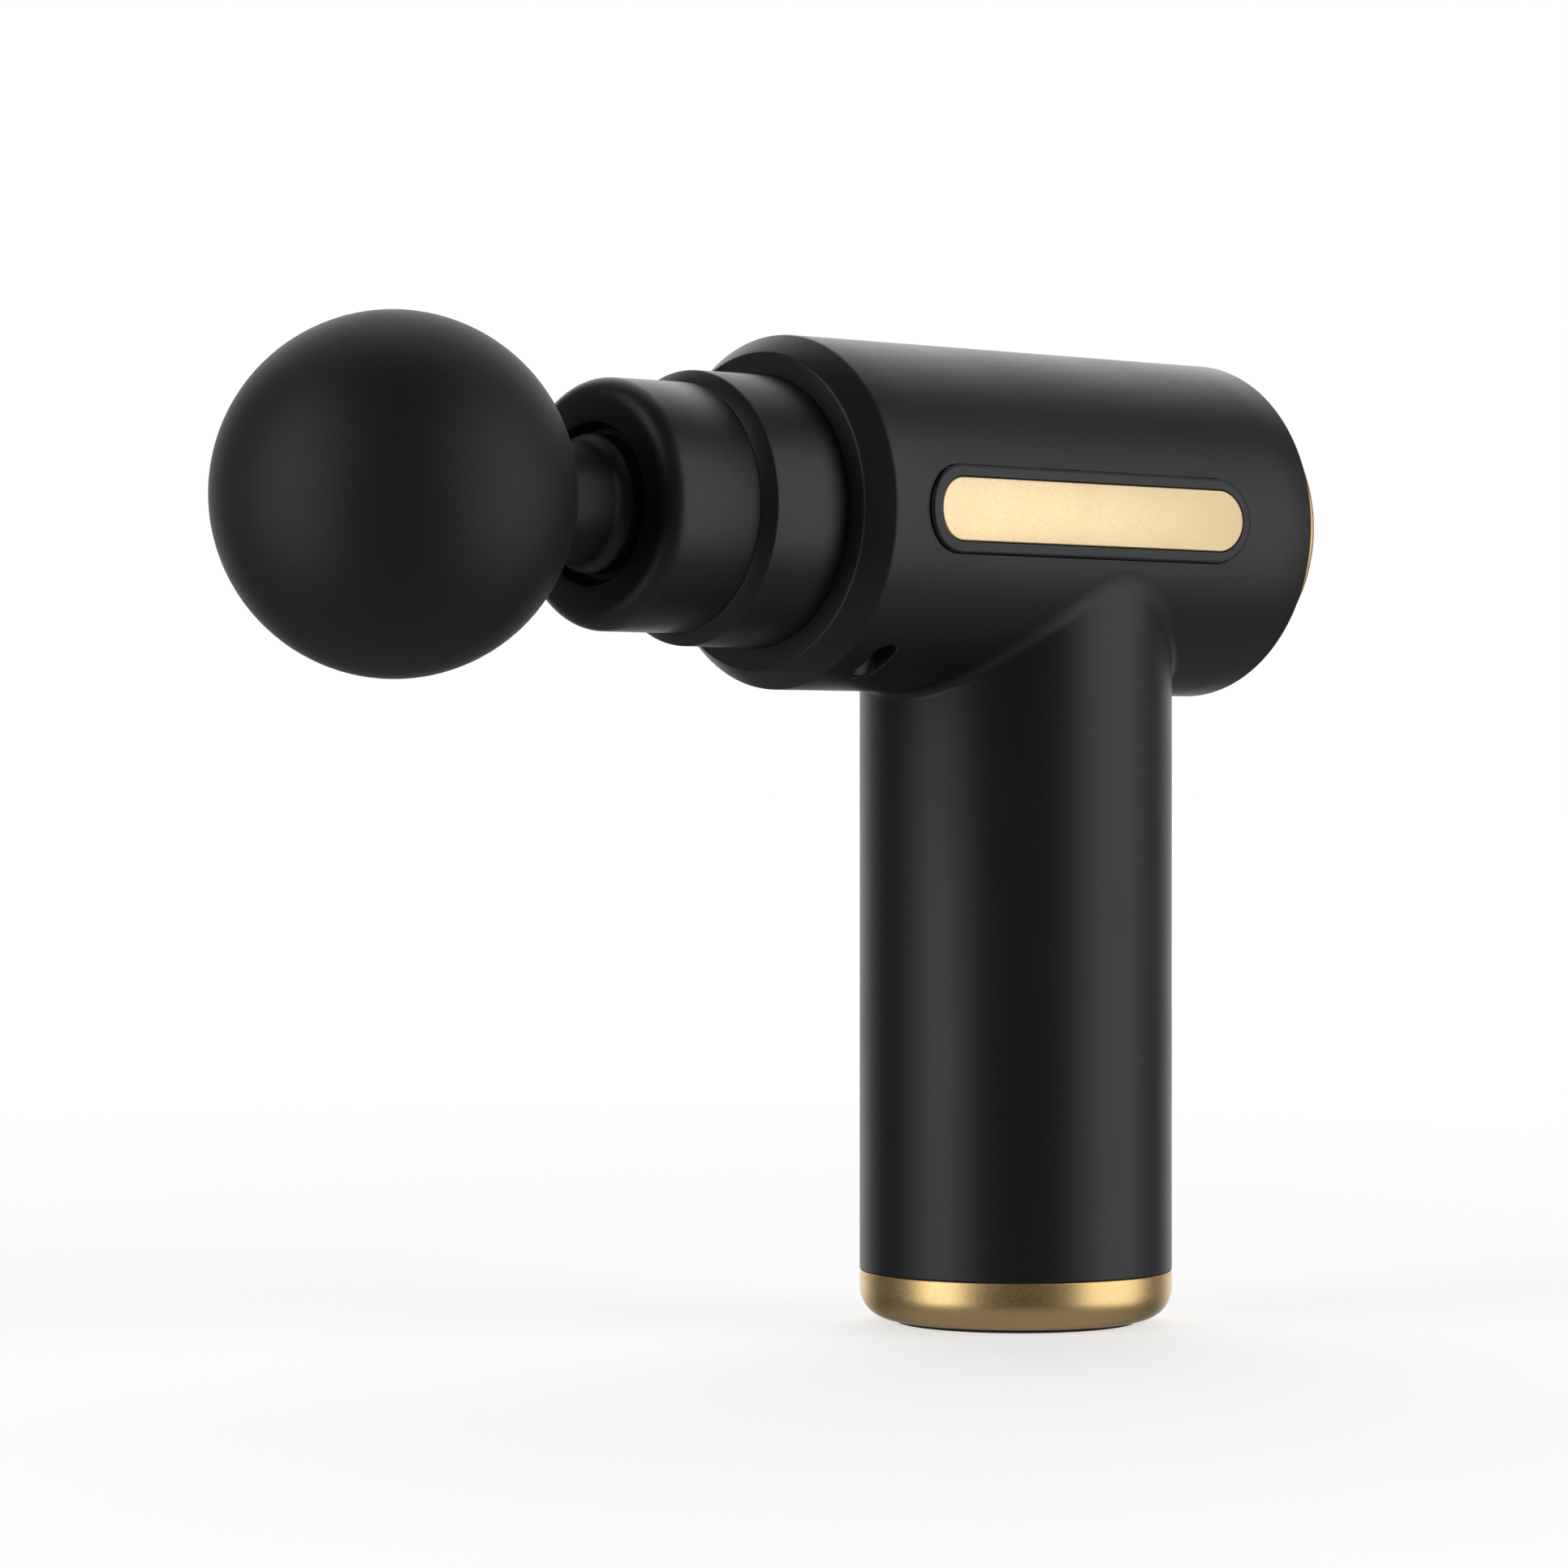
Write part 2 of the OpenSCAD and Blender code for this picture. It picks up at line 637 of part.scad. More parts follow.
module control_board_screws() color(steel) for (a = [90, 210, 330])
    translate([pcb_screw_r * cos(a), pcb_y, axis_h + pcb_screw_r * sin(a)]) rotate([-90, 0, 0])
        screw(pcb_t + 3.4);

// ---- motor ----

module motor_mount() color("#8f9398") difference() {
    post(mount_r, mount_z, mount_top);
    post(post_r, mount_z - 1, mount_top + 1);
    mount_screw_holes(screw_r + 0.1, mount_z - 1, mount_top + 1);
    for (a = [0, 90, 180, 270]) rotate(a + 45) translate([motor_screw_r, 0, mount_z - 1]) {
        cylinder(r = screw_r + 0.1, h = mount_t + 2, $fn = 24);
        translate([0, 0, mount_t + 1 - head_h - 0.1]) cylinder(r = head_r + 0.1, h = 3, $fn = 32);
    }
    // ways through for the motor's leads and the battery's
    translate([-5.5, motor_lead_y - 1.2, mount_z - 1]) cube([11, 2.4, mount_t + 2]);
    translate([-8, battery_lead_y - 1, mount_z - 1]) cube([16, 6, mount_t + 2]);
}

module mount_screw_holes(r, z0, z1) for (sx = [-1, 1], sy = [-1, 1])
    translate([sx * mount_screw_x, sy * mount_screw_y, z0]) cylinder(r = r, h = z1 - z0, $fn = 24);

module mount_screws() color(steel) for (sx = [-1, 1], sy = [-1, 1])
    translate([sx * mount_screw_x, sy * mount_screw_y, mount_z]) screw(mount_t + 4.6);

module motor_base() color("#a5a9ae") difference() {
    union() {
        post(base_plate_r, base_plate_z, mount_z);
        post(post_r, stator_z - 1, mount_z);
    }
    post(shaft_r + 0.5, 0, axis_h);
    post(bearing_r, mount_z - bearing_t, mount_z + 1);
    post(bearing_r, stator_z - 2, stator_z - 1 + bearing_t);
    for (a = [0, 90, 180, 270]) rotate(a + 45) translate([motor_screw_r, 0, base_plate_z - 1])
        cylinder(r = screw_r, h = base_plate_t + 2, $fn = 24);
    translate([-5.5, motor_lead_y - 1.2, base_plate_z - 1]) cube([11, motor_lead_slot, base_plate_t + 2]);
}

module motor_base_screws() color(steel) for (a = [0, 90, 180, 270]) rotate(a + 45)
    translate([motor_screw_r, 0, mount_top - head_h]) rotate([180, 0, 0]) screw(mount_t - head_h + 2.8);

module motor_bearings() color("#d8dadd") for (z = [mount_z - bearing_t, stator_z - 1]) difference() {
    post(bearing_r, z, z + bearing_t);
    post(shaft_r + run_fit, z - 1, z + bearing_t + 1);
    for (w = [z - 1, z + bearing_t - 0.4]) translate([0, 0, w]) difference() {
        cylinder(r = bearing_r - 0.5, h = 1.4);
        translate([0, 0, -1]) cylinder(r = shaft_r + 0.5, h = 4);
    }
}

module stator_core() color("#7d7f83") translate([0, 0, stator_z]) linear_extrude(stator_h) difference() {
    union() {
        circle(hub_r);
        for (k = [0:poles - 1]) rotate(360 * k / poles) {
            translate([0, -tooth_w / 2]) square([stator_r - 0.6, tooth_w]);
            intersection() {
                difference() {
                    circle(stator_r);
                    circle(stator_r - tip_l);
                }
                polygon([[0, 0], [20, -20 * tan(144 / poles)], [20, 20 * tan(144 / poles)]]);
            }
        }
    }
    circle(post_r);
}

module stator_windings() color("#b5672c") for (k = [0:poles - 1]) rotate(360 * k / poles)
    translate([0, 0, stator_z]) difference() {
        translate([hub_r + 0.3, -tooth_w / 2 - coil_t, -coil_over])
            cube([stator_r - tip_l - hub_r - 0.6, tooth_w + 2 * coil_t, stator_h + 2 * coil_over]);
        translate([0, -tooth_w / 2, 0]) cube([stator_r, tooth_w, stator_h]);
    }

module motor_can() color("#55585d") difference() {
    post(can_d / 2, can_z, can_top);
    post(can_d / 2 - can_wall, can_z + can_floor, can_top + 1);
    post(shaft_r, can_z - 1, can_top);
    for (a = [0:60:300]) rotate(a) translate([vent_x, 0, can_z - 1]) cylinder(r = vent_r, h = can_floor + 2);
}

module rotor_magnets() color("#3d3f43") for (k = [0:magnet_count - 1]) rotate(360 * k / magnet_count)
    translate([0, 0, stator_z]) linear_extrude(stator_h) intersection() {
        difference() {
            circle(can_d / 2 - can_wall);
            circle(can_d / 2 - can_wall - magnet_t);
        }
        polygon([[0, 0], [20, -20 * tan(13)], [20, 20 * tan(13)]]);
    }

module motor_shaft() color(steel) post(shaft_r, can_z, crank_top - 1);

module motor_leads() color("#b3261e") for (x = motor_lead_x) lead(x, motor_lead_path);

// ---- battery and charging ----

module battery_cells() color("#2f7f86") for (s = [-1, 1])
    translate([s * cell_x, 0, cell_z]) cylinder(r = cell_r, h = cell_l);

module battery_tabs() color("#c9ccd0") for (z = [cell_z - tab_t, cell_z + cell_l])
    translate([-cell_x - 3, -3.5, z]) cube([2 * cell_x + 6, 7, tab_t]);

module battery_holder() color("#2b2b2d") difference() {
    union() {
        post(holder_r, holder_z, holder_z + holder_t);
        post(holder_r, holder_top_z, holder_top_z + holder_t);
        for (s = [-1, 1]) translate([s * spine_x - spine_w / 2, -cell_r - 5, holder_z])
            cube([spine_w, 4.2, holder_top_z + holder_t - holder_z]);
        for (s = [-1, 1]) translate([s * (board_w / 2 + 1.2) - 1, board_y - 1, holder_z])
            cube([2, board_t + 2, board_z + board_l - holder_z]);
    }
    for (s = [-1, 1]) translate([0, s * boss_y, holder_z - 1]) {
        cylinder(r = boss_r + gap, h = holder_t + 2);
        translate([-boss_r - gap, s > 0 ? 0 : -wall_reach, 0])
            cube([2 * boss_r + 2 * gap, wall_reach, holder_t + 2]);
    }
    for (x = battery_lead_x) translate([x - 1.4, 2, holder_top_z - 1]) cube([2.8, 20, holder_t + 2]);
}

module battery_leads() color("#1b1b1d") for (x = battery_lead_x) lead(x, battery_lead_path);

module charge_board() color(board_green)
    translate([-board_w / 2, board_y, board_z]) cube([board_w, board_t, board_l]);

module charge_board_chips() color("#26282b") {
    translate([-3, board_y + board_t, 32]) cube([6, 1.2, 6]);
    translate([-6, board_y + board_t, 42]) cube([12, 2.4, 5]);
    for (x = [-7, 5]) translate([x, board_y + board_t, 28]) cube([2, 1, 3]);
}

module usb_shell() color("#c3c6ca") translate([0, board_y + board_t, port_z]) rotate([-90, 0, 0]) difference() {
    linear_extrude(handle_r - 0.6 - board_y - board_t) pill(port_w, port_h);
    translate([0, 0, 1]) linear_extrude(20) pill(port_w - 0.6, port_h - 0.6);
}

module usb_insert() color("#17181a") translate([0, board_y + board_t + 1, port_z]) rotate([-90, 0, 0]) {
    linear_extrude(1.5) pill(port_w - 0.6, port_h - 0.6);
    linear_extrude(handle_r - 3 - board_y - board_t) square([6.7, 0.7], center = true);
}

// ---- foot ----

module base_cap() color(gold) difference() {
    union() {
        rotate_extrude() difference() {
            union() {
                translate([0, foot_h + base_fillet]) square([handle_r, base_h - foot_h - base_fillet]);
                translate([0, foot_h]) square([handle_r - base_fillet, base_fillet + eps]);
                intersection() {
                    translate([handle_r - base_fillet, foot_h + base_fillet]) circle(base_fillet);
                    translate([0, foot_h]) square([handle_r, base_h - foot_h]);
                }
                translate([0, base_h - eps]) square([grip_bore_r - push_fit, base_spigot_h]);
            }
            translate([0, foot_h + 3]) square([handle_r - 5, base_h]);
        }
        for (s = [-1, 1]) translate([0, s * boss_y, foot_h + 3 - eps])
            cylinder(r = boss_r, h = base_h + base_spigot_h - foot_h - 3);
    }
    post(handle_r - base_fillet - 0.5, foot_h - 1, foot_h + 0.9);
    for (s = [-1, 1]) translate([0, s * boss_y, 0]) {
        cylinder(r = screw_r + 0.1, h = 20, $fn = 24);
        cylinder(r = head_r + 0.2, h = foot_h + 0.9 + head_h + 0.1, $fn = 32);
    }
}

module base_pad() color("#1a1a1b") post(handle_r - base_fillet - 0.55, 0, foot_h + 0.85);

module base_screws() color(steel) for (s = [-1, 1])
    translate([0, s * boss_y, foot_h + 0.9 + head_h]) screw(boss_top - 2.2 - foot_h - head_h);

ball_skin();
ball_core();
head_stem();
stem_o_rings();
plunger();
yoke();
yoke_pin();
crank();
crank_roller();
crank_clip();
guide_sleeve();
guide_bush_front();
guide_bush_rear();
wiper_seal();
nose_cap();
nose_collar();
nose_screws();
housing();
side_bezel_right();
side_bezel_left();
side_plate_right();
side_plate_left();
rear_cover();
rear_cap();
power_button();
button_light_ring();
control_board();
control_board_chips();
tact_switch();
control_board_screws();
motor_mount();
mount_screws();
motor_base();
motor_base_screws();
motor_bearings();
stator_core();
stator_windings();
motor_can();
rotor_magnets();
motor_shaft();
motor_leads();
battery_cells();
battery_tabs();
battery_holder();
battery_leads();
charge_board();
charge_board_chips();
usb_shell();
usb_insert();
base_cap();
base_pad();
base_screws();
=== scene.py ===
import math

import bmesh
import bpy
from mathutils import Matrix, Vector


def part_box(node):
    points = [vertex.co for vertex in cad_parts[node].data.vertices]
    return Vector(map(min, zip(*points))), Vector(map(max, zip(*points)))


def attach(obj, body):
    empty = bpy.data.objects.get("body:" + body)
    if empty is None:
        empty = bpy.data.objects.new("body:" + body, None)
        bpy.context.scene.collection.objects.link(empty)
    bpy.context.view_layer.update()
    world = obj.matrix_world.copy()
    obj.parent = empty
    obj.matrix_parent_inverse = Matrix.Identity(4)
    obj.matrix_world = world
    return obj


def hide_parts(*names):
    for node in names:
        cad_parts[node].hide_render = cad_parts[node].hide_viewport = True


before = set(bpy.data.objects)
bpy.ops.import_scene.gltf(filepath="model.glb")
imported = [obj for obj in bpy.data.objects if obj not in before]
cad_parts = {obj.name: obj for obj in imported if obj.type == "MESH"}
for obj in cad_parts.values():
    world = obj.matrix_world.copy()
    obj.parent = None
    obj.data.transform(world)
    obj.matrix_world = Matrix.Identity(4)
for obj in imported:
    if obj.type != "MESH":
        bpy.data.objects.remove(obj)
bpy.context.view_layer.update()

mm = 0.001
fullTurn = 2 * math.pi

print("measuring the frame")


def nodeCentre(node, axis):
    low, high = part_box(node)
    return (low[axis] + high[axis]) / 2


def nodeRadius(node, axis):
    low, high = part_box(node)
    return (high[axis] - low[axis]) / 2


axisHeight = nodeCentre("nose_collar", 2)
handleRadius = nodeRadius("base_cap", 0)
barrelRadius = nodeRadius("rear_cover", 0) + 2.25 * mm
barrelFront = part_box("housing")[0][1]
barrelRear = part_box("housing")[1][1]


# ---------- shapes: everything starts as a bmesh and ends as an object at the origin ----------

def finishPiece(name, mesh, body, nodes, material, sharpAngle=32):
    bmesh.ops.recalc_face_normals(mesh, faces=mesh.faces)
    data = bpy.data.meshes.new(name)
    mesh.to_mesh(data)
    mesh.free()
    data.shade_smooth()
    data.set_sharp_from_angle(angle=math.radians(sharpAngle))
    data.materials.append(material)
    piece = bpy.data.objects.new(name, data)
    bpy.context.scene.collection.objects.link(piece)
    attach(piece, body)
    if nodes:
        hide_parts(*nodes)
    return piece


def turnedMesh(profile, rounds, alongHandle=False, steps=160):
    # profile: (radius, distance along the axis); rounds: corner number -> (fillet, segments)
    mesh = bmesh.new()
    points = []
    for radius, along in profile:
        place = (radius, 0, along) if alongHandle else (radius, along, axisHeight)
        points.append(mesh.verts.new(place))
    edges = [mesh.edges.new((a, b)) for a, b in zip(points, points[1:] + points[:1])
             if not (a.co.x == 0 and b.co.x == 0)]
    centre = (0, 0, 0) if alongHandle else (0, 0, axisHeight)
    axis = (0, 0, 1) if alongHandle else (0, 1, 0)
    bmesh.ops.spin(mesh, geom=points + edges, cent=centre, axis=axis, angle=fullTurn,
                   steps=steps, use_merge=True, use_duplicate=False)
    bmesh.ops.remove_doubles(mesh, verts=mesh.verts, dist=1e-6)
    bmesh.ops.recalc_face_normals(mesh, faces=mesh.faces)
    for corner, (fillet, segments) in rounds.items():
        radius, along = profile[corner]
        rim = [edge for edge in mesh.edges
               if all(onRing(vert, radius, along, alongHandle) for vert in edge.verts)]
        bmesh.ops.bevel(mesh, geom=rim, offset=fillet, offset_type="OFFSET", segments=segments,
                        profile=0.5, affect="EDGES", material=-1, clamp_overlap=True)
    return mesh


def onRing(vert, radius, along, alongHandle):
    x, y, z = vert.co
    if alongHandle:
        reach, level = math.hypot(x, y), z
    else:
        reach, level = math.hypot(x, z - axisHeight), y
    return abs(reach - radius) < 2e-6 and abs(level - along) < 2e-6


def movePiece(mesh, matrix):
    bmesh.ops.transform(mesh, matrix=matrix, verts=mesh.verts)
    return mesh


def scratchObject(mesh):
    data = bpy.data.meshes.new("scratch")
    mesh.to_mesh(data)
    mesh.free()
    scratch = bpy.data.objects.new("scratch", data)
    bpy.context.scene.collection.objects.link(scratch)
    return scratch


def combined(mesh, others, operation):
    # joins, cuts or intersects a bmesh with others, and gives a new bmesh
    base = scratchObject(mesh)
    tools = [scratchObject(other) for other in others]
    for tool in tools:
        step = base.modifiers.new("combine", "BOOLEAN")
        step.operation = operation
        step.solver = "EXACT"
        step.object = tool
    bpy.context.view_layer.update()
    evaluated = base.evaluated_get(bpy.context.evaluated_depsgraph_get())
    result = bmesh.new()
    result.from_mesh(evaluated.to_mesh())
    evaluated.to_mesh_clear()
    for scratch in [base] + tools:
        data = scratch.data
        bpy.data.objects.remove(scratch)
        bpy.data.meshes.remove(data)
    bmesh.ops.remove_doubles(result, verts=result.verts, dist=1e-6)
    return result


# ---------- materials ----------

class Recipe:
    # a short way to write a material's nodes
    def __init__(self, name, colour, roughness, metallic=0.0):
        self.material = bpy.data.materials.new(name)
        self.material.use_nodes = True
        self.tree = self.material.node_tree
        self.shader = self.tree.nodes["Principled BSDF"]
        self.shader.inputs["Base Color"].default_value = (*colour, 1)
        self.shader.inputs["Roughness"].default_value = roughness
        self.shader.inputs["Metallic"].default_value = metallic
        self.colour = colour
        self.place = self.add("ShaderNodeTexCoord").outputs["Object"]
        self.height = None

    def add(self, kind, **settings):
        node = self.tree.nodes.new(kind)
        for key, value in settings.items():
            setattr(node, key, value)
        return node

    def join(self, source, target):
        self.tree.links.new(source, target)

    def stretched(self, scale, turn=(0, 0, 0)):
        mapping = self.add("ShaderNodeMapping")
        mapping.inputs["Scale"].default_value = scale
        mapping.inputs["Rotation"].default_value = turn
        self.join(self.place, mapping.inputs["Vector"])
        return mapping.outputs["Vector"]

    def noise(self, scale, detail=3.0, vector=None, roughness=0.5):
        node = self.add("ShaderNodeTexNoise")
        node.inputs["Scale"].default_value = scale
        node.inputs["Detail"].default_value = detail
        node.inputs["Roughness"].default_value = roughness
        self.join(vector or self.place, node.inputs["Vector"])
        return node.outputs["Fac"]

    def spread(self, value, low, high):
        node = self.add("ShaderNodeMapRange")
        node.inputs["From Min"].default_value = 0.3
        node.inputs["From Max"].default_value = 0.7
        node.inputs["To Min"].default_value = low
        node.inputs["To Max"].default_value = high
        self.join(value, node.inputs["Value"])
        return node.outputs["Result"]

    def colours(self, value, *tones):
        ramp = self.add("ShaderNodeValToRGB")
        stops = ramp.color_ramp.elements
        while len(stops) < len(tones):
            stops.new(0.5)
        for number, tone in enumerate(tones):
            stops[number].position = 0.3 + 0.4 * number / max(len(tones) - 1, 1)
            stops[number].color = (*tone, 1)
        self.join(value, ramp.inputs["Fac"])
        self.join(ramp.outputs["Color"], self.shader.inputs["Base Color"])

    def roughen(self, value, low, high):
        self.join(self.spread(value, low, high), self.shader.inputs["Roughness"])

    def bump(self, value, depth, strength=1.0):
        node = self.add("ShaderNodeBump")
        node.inputs["Distance"].default_value = depth
        node.inputs["Strength"].default_value = strength
        self.join(value, node.inputs["Height"])
        if self.height:
            self.join(self.height, node.inputs["Normal"])
        self.height = node.outputs["Normal"]
        self.join(self.height, self.shader.inputs["Normal"])

    def setting(self, name, value):
        self.shader.inputs[name].default_value = value


def tint(colour, factor):
    return tuple(min(1.0, channel * factor) for channel in colour)


def softTouchPlastic(name, colour, roughness, grain=9000, depth=0.000012, sheen=0.0):
    recipe = Recipe(name, colour, roughness)
    cloud = recipe.noise(45, 2)
    fine = recipe.noise(grain, 2)
    recipe.colours(cloud, tint(colour, 0.93), tint(colour, 1.07))
    recipe.roughen(cloud, roughness - 0.02, roughness + 0.03)
    recipe.bump(fine, depth)
    recipe.setting("Specular IOR Level", 0.42)
    if sheen:
        recipe.setting("Sheen Weight", sheen)
        recipe.setting("Sheen Roughness", 0.4)
    return recipe.material


def satinMetal(name, colour, roughness, grain=(1, 1, 1), depth=0.000004, scale=2500):
    recipe = Recipe(name, colour, roughness, metallic=1.0)
    streak = recipe.noise(scale, 3, recipe.stretched(grain))
    cloud = recipe.noise(60, 2)
    recipe.colours(cloud, tint(colour, 0.94), tint(colour, 1.05))
    recipe.roughen(streak, roughness - 0.04, roughness + 0.05)
    recipe.bump(streak, depth)
    return recipe.material


def plainRubber(name, colour, roughness=0.72):
    recipe = Recipe(name, colour, roughness)
    pores = recipe.noise(3500, 3)
    recipe.colours(recipe.noise(90, 3), tint(colour, 0.85), tint(colour, 1.15))
    recipe.roughen(pores, roughness - 0.05, roughness + 0.08)
    recipe.bump(pores, 0.00002)
    return recipe.material


def circuitBoard(name, colour):
    recipe = Recipe(name, colour, 0.35)
    cells = recipe.add("ShaderNodeTexVoronoi", feature="DISTANCE_TO_EDGE", distance="MANHATTAN")
    cells.inputs["Scale"].default_value = 420
    recipe.join(recipe.place, cells.inputs["Vector"])
    recipe.colours(cells.outputs["Distance"], tint(colour, 1.7), colour, tint(colour, 0.8))
    recipe.bump(cells.outputs["Distance"], 0.00003, 0.4)
    return recipe.material


finishes = {
    "housing": softTouchPlastic("Housing soft black", (0.006, 0.006, 0.0062), 0.42),
    "nose": softTouchPlastic("Nose black", (0.006, 0.006, 0.0062), 0.42),
    "trim": softTouchPlastic("Trim black", (0.006, 0.006, 0.0062), 0.36),
    "ball": softTouchPlastic("Ball rubber black", (0.004, 0.004, 0.0042), 0.56, 6000, 0.00002),
    "plate": satinMetal("Plate champagne gold", (0.77, 0.61, 0.37), 0.42, (1, 1, 1), 0.000002),
    "gold": satinMetal("Cast satin gold", (0.71, 0.5, 0.23), 0.36, (1, 1, 1), 0.000003),
    "foot": plainRubber("Foot rubber", (0.012, 0.012, 0.012)),
    "seal": plainRubber("Seal rubber", (0.008, 0.008, 0.008), 0.6),
    "foam": plainRubber("Foam core", (0.05, 0.05, 0.05), 0.9),
    "nylon": softTouchPlastic("Glass-filled nylon", (0.045, 0.045, 0.048), 0.55, 4000, 0.00002),
    "chip": softTouchPlastic("Chip epoxy", (0.02, 0.02, 0.022), 0.5, 7000, 0.00001),
    "bush": softTouchPlastic("Bush polymer", (0.35, 0.22, 0.09), 0.45, 4000, 0.00001),
    "ring": softTouchPlastic("Frosted light ring", (0.75, 0.8, 0.85), 0.5, 6000, 0.00001),
    "cell": softTouchPlastic("Cell wrap", (0.02, 0.2, 0.24), 0.3, 900, 0.00002),
    "anodised": softTouchPlastic("Black anodising", (0.012, 0.012, 0.012), 0.33, 3000, 0.000004),
    "steel": satinMetal("Ground steel", (0.48, 0.49, 0.51), 0.27, (1, 1, 20), 0.000004),
    "darkSteel": satinMetal("Dark steel", (0.12, 0.12, 0.13), 0.38, (1, 1, 8)),
    "laminated": satinMetal("Laminated core steel", (0.26, 0.26, 0.27), 0.42, (1, 1, 90), 0.00003, 900),
    "copper": satinMetal("Enamelled copper", (0.68, 0.26, 0.09), 0.3, (4, 4, 60), 0.00004, 500),
    "nickel": satinMetal("Nickel strip", (0.6, 0.58, 0.54), 0.3, (30, 1, 1)),
    "redWire": plainRubber("Red wire", (0.4, 0.012, 0.012), 0.45),
    "blackWire": plainRubber("Black wire", (0.015, 0.015, 0.015), 0.45),
    "board": circuitBoard("Board green", (0.012, 0.09, 0.045)),
}

nodeFinish = {
    "ball_core": "foam", "stem_o_rings": "seal", "plunger": "anodised", "yoke": "nylon", "yoke_pin": "steel",
    "crank": "steel", "crank_roller": "steel", "crank_clip": "darkSteel", "guide_sleeve": "nylon",
    "guide_bush_front": "bush", "guide_bush_rear": "bush", "wiper_seal": "seal", "nose_screws": "steel",
    "control_board": "board", "control_board_chips": "chip", "tact_switch": "chip",
    "control_board_screws": "steel", "motor_mount": "steel", "mount_screws": "steel", "motor_base": "steel",
    "motor_base_screws": "steel", "motor_bearings": "steel", "stator_core": "laminated",
    "stator_windings": "copper", "motor_can": "darkSteel", "rotor_magnets": "darkSteel",
    "motor_shaft": "steel", "motor_leads": "redWire", "battery_cells": "cell", "battery_tabs": "nickel",
    "battery_holder": "nylon", "battery_leads": "blackWire", "charge_board": "board",
    "charge_board_chips": "chip", "usb_shell": "nickel", "usb_insert": "chip", "base_screws": "steel",
    "ball_skin": "ball", "head_stem": "nose", "nose_cap": "nose", "nose_collar": "nose",
    "housing": "housing", "side_bezel_right": "trim", "side_bezel_left": "trim",
    "side_plate_right": "plate", "side_plate_left": "plate", "rear_cover": "trim", "rear_cap": "gold",
    "power_button": "gold", "button_light_ring": "ring", "base_cap": "gold", "base_pad": "foot",
}
for node, finish in nodeFinish.items():
    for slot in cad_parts[node].material_slots:
        slot.material = finishes[finish]
print("materials are on the carried-over pieces")


# ---------- camera, lights and floor ----------

camera = {"azimuth": 48, "distance": 0.70743, "aside": -0.00596, "height": 0.07575, "lens": 119.9}


def placeCamera():
    turn = math.radians(camera["azimuth"])
    ahead = Vector((-math.sin(turn), math.cos(turn), 0))
    right = Vector((math.cos(turn), math.sin(turn), 0))
    data = bpy.data.cameras.new("Camera")
    data.lens = camera["lens"]
    data.sensor_width = 36
    holder = bpy.data.objects.new("Camera", data)
    holder.location = Vector((0.5257, -0.5173, camera["height"]))
    holder.rotation_euler = (math.radians(90), 0, turn)
    bpy.context.scene.collection.objects.link(holder)
    bpy.context.scene.camera = holder
    return ahead, right


ahead, right = placeCamera()


def addLight(name, kind, place, energy, size=(0.5, 0.5), target=(0, -0.03, 0.08)):
    data = bpy.data.lights.new(name, kind)
    data.energy = energy
    if kind == "AREA":
        data.shape = "RECTANGLE"
        data.size, data.size_y = size
    lamp = bpy.data.objects.new(name, data)
    lamp.location = place
    lamp.rotation_euler = (Vector(target) - Vector(place)).to_track_quat("-Z", "Y").to_euler()
    bpy.context.scene.collection.objects.link(lamp)
    return lamp


def fromCamera(sideways, forward, up):
    # a place given as the camera sees it: to the right, away from it, and up, from the handle's foot
    return Vector((0, 0, up)) + right * sideways + ahead * forward


# floorNearPaintedShade is the floor's glow beside the gun, kept low as painted shade round its foot; floorFar is the
# glow far off
studio = {"background": 1.0, "front": 0.09, "back": 1.5, "above": 0.95, "below": 0.3, "leftBox": 1.95,
          "rightBox": 1.6, "floorNearPaintedShade": 0.59, "floorFar": 0.86, "floorTone": 0.62}


def softbox(name, angle, distance, size, radiance, height):
    # angle: degrees round the handle from the camera, positive to its right
    turn = math.radians(angle)
    place = fromCamera(distance * math.sin(turn), -distance * math.cos(turn), height)
    addLight(name, "AREA", place, radiance * math.pi * size[0] * size[1], size, (0, 0, height))


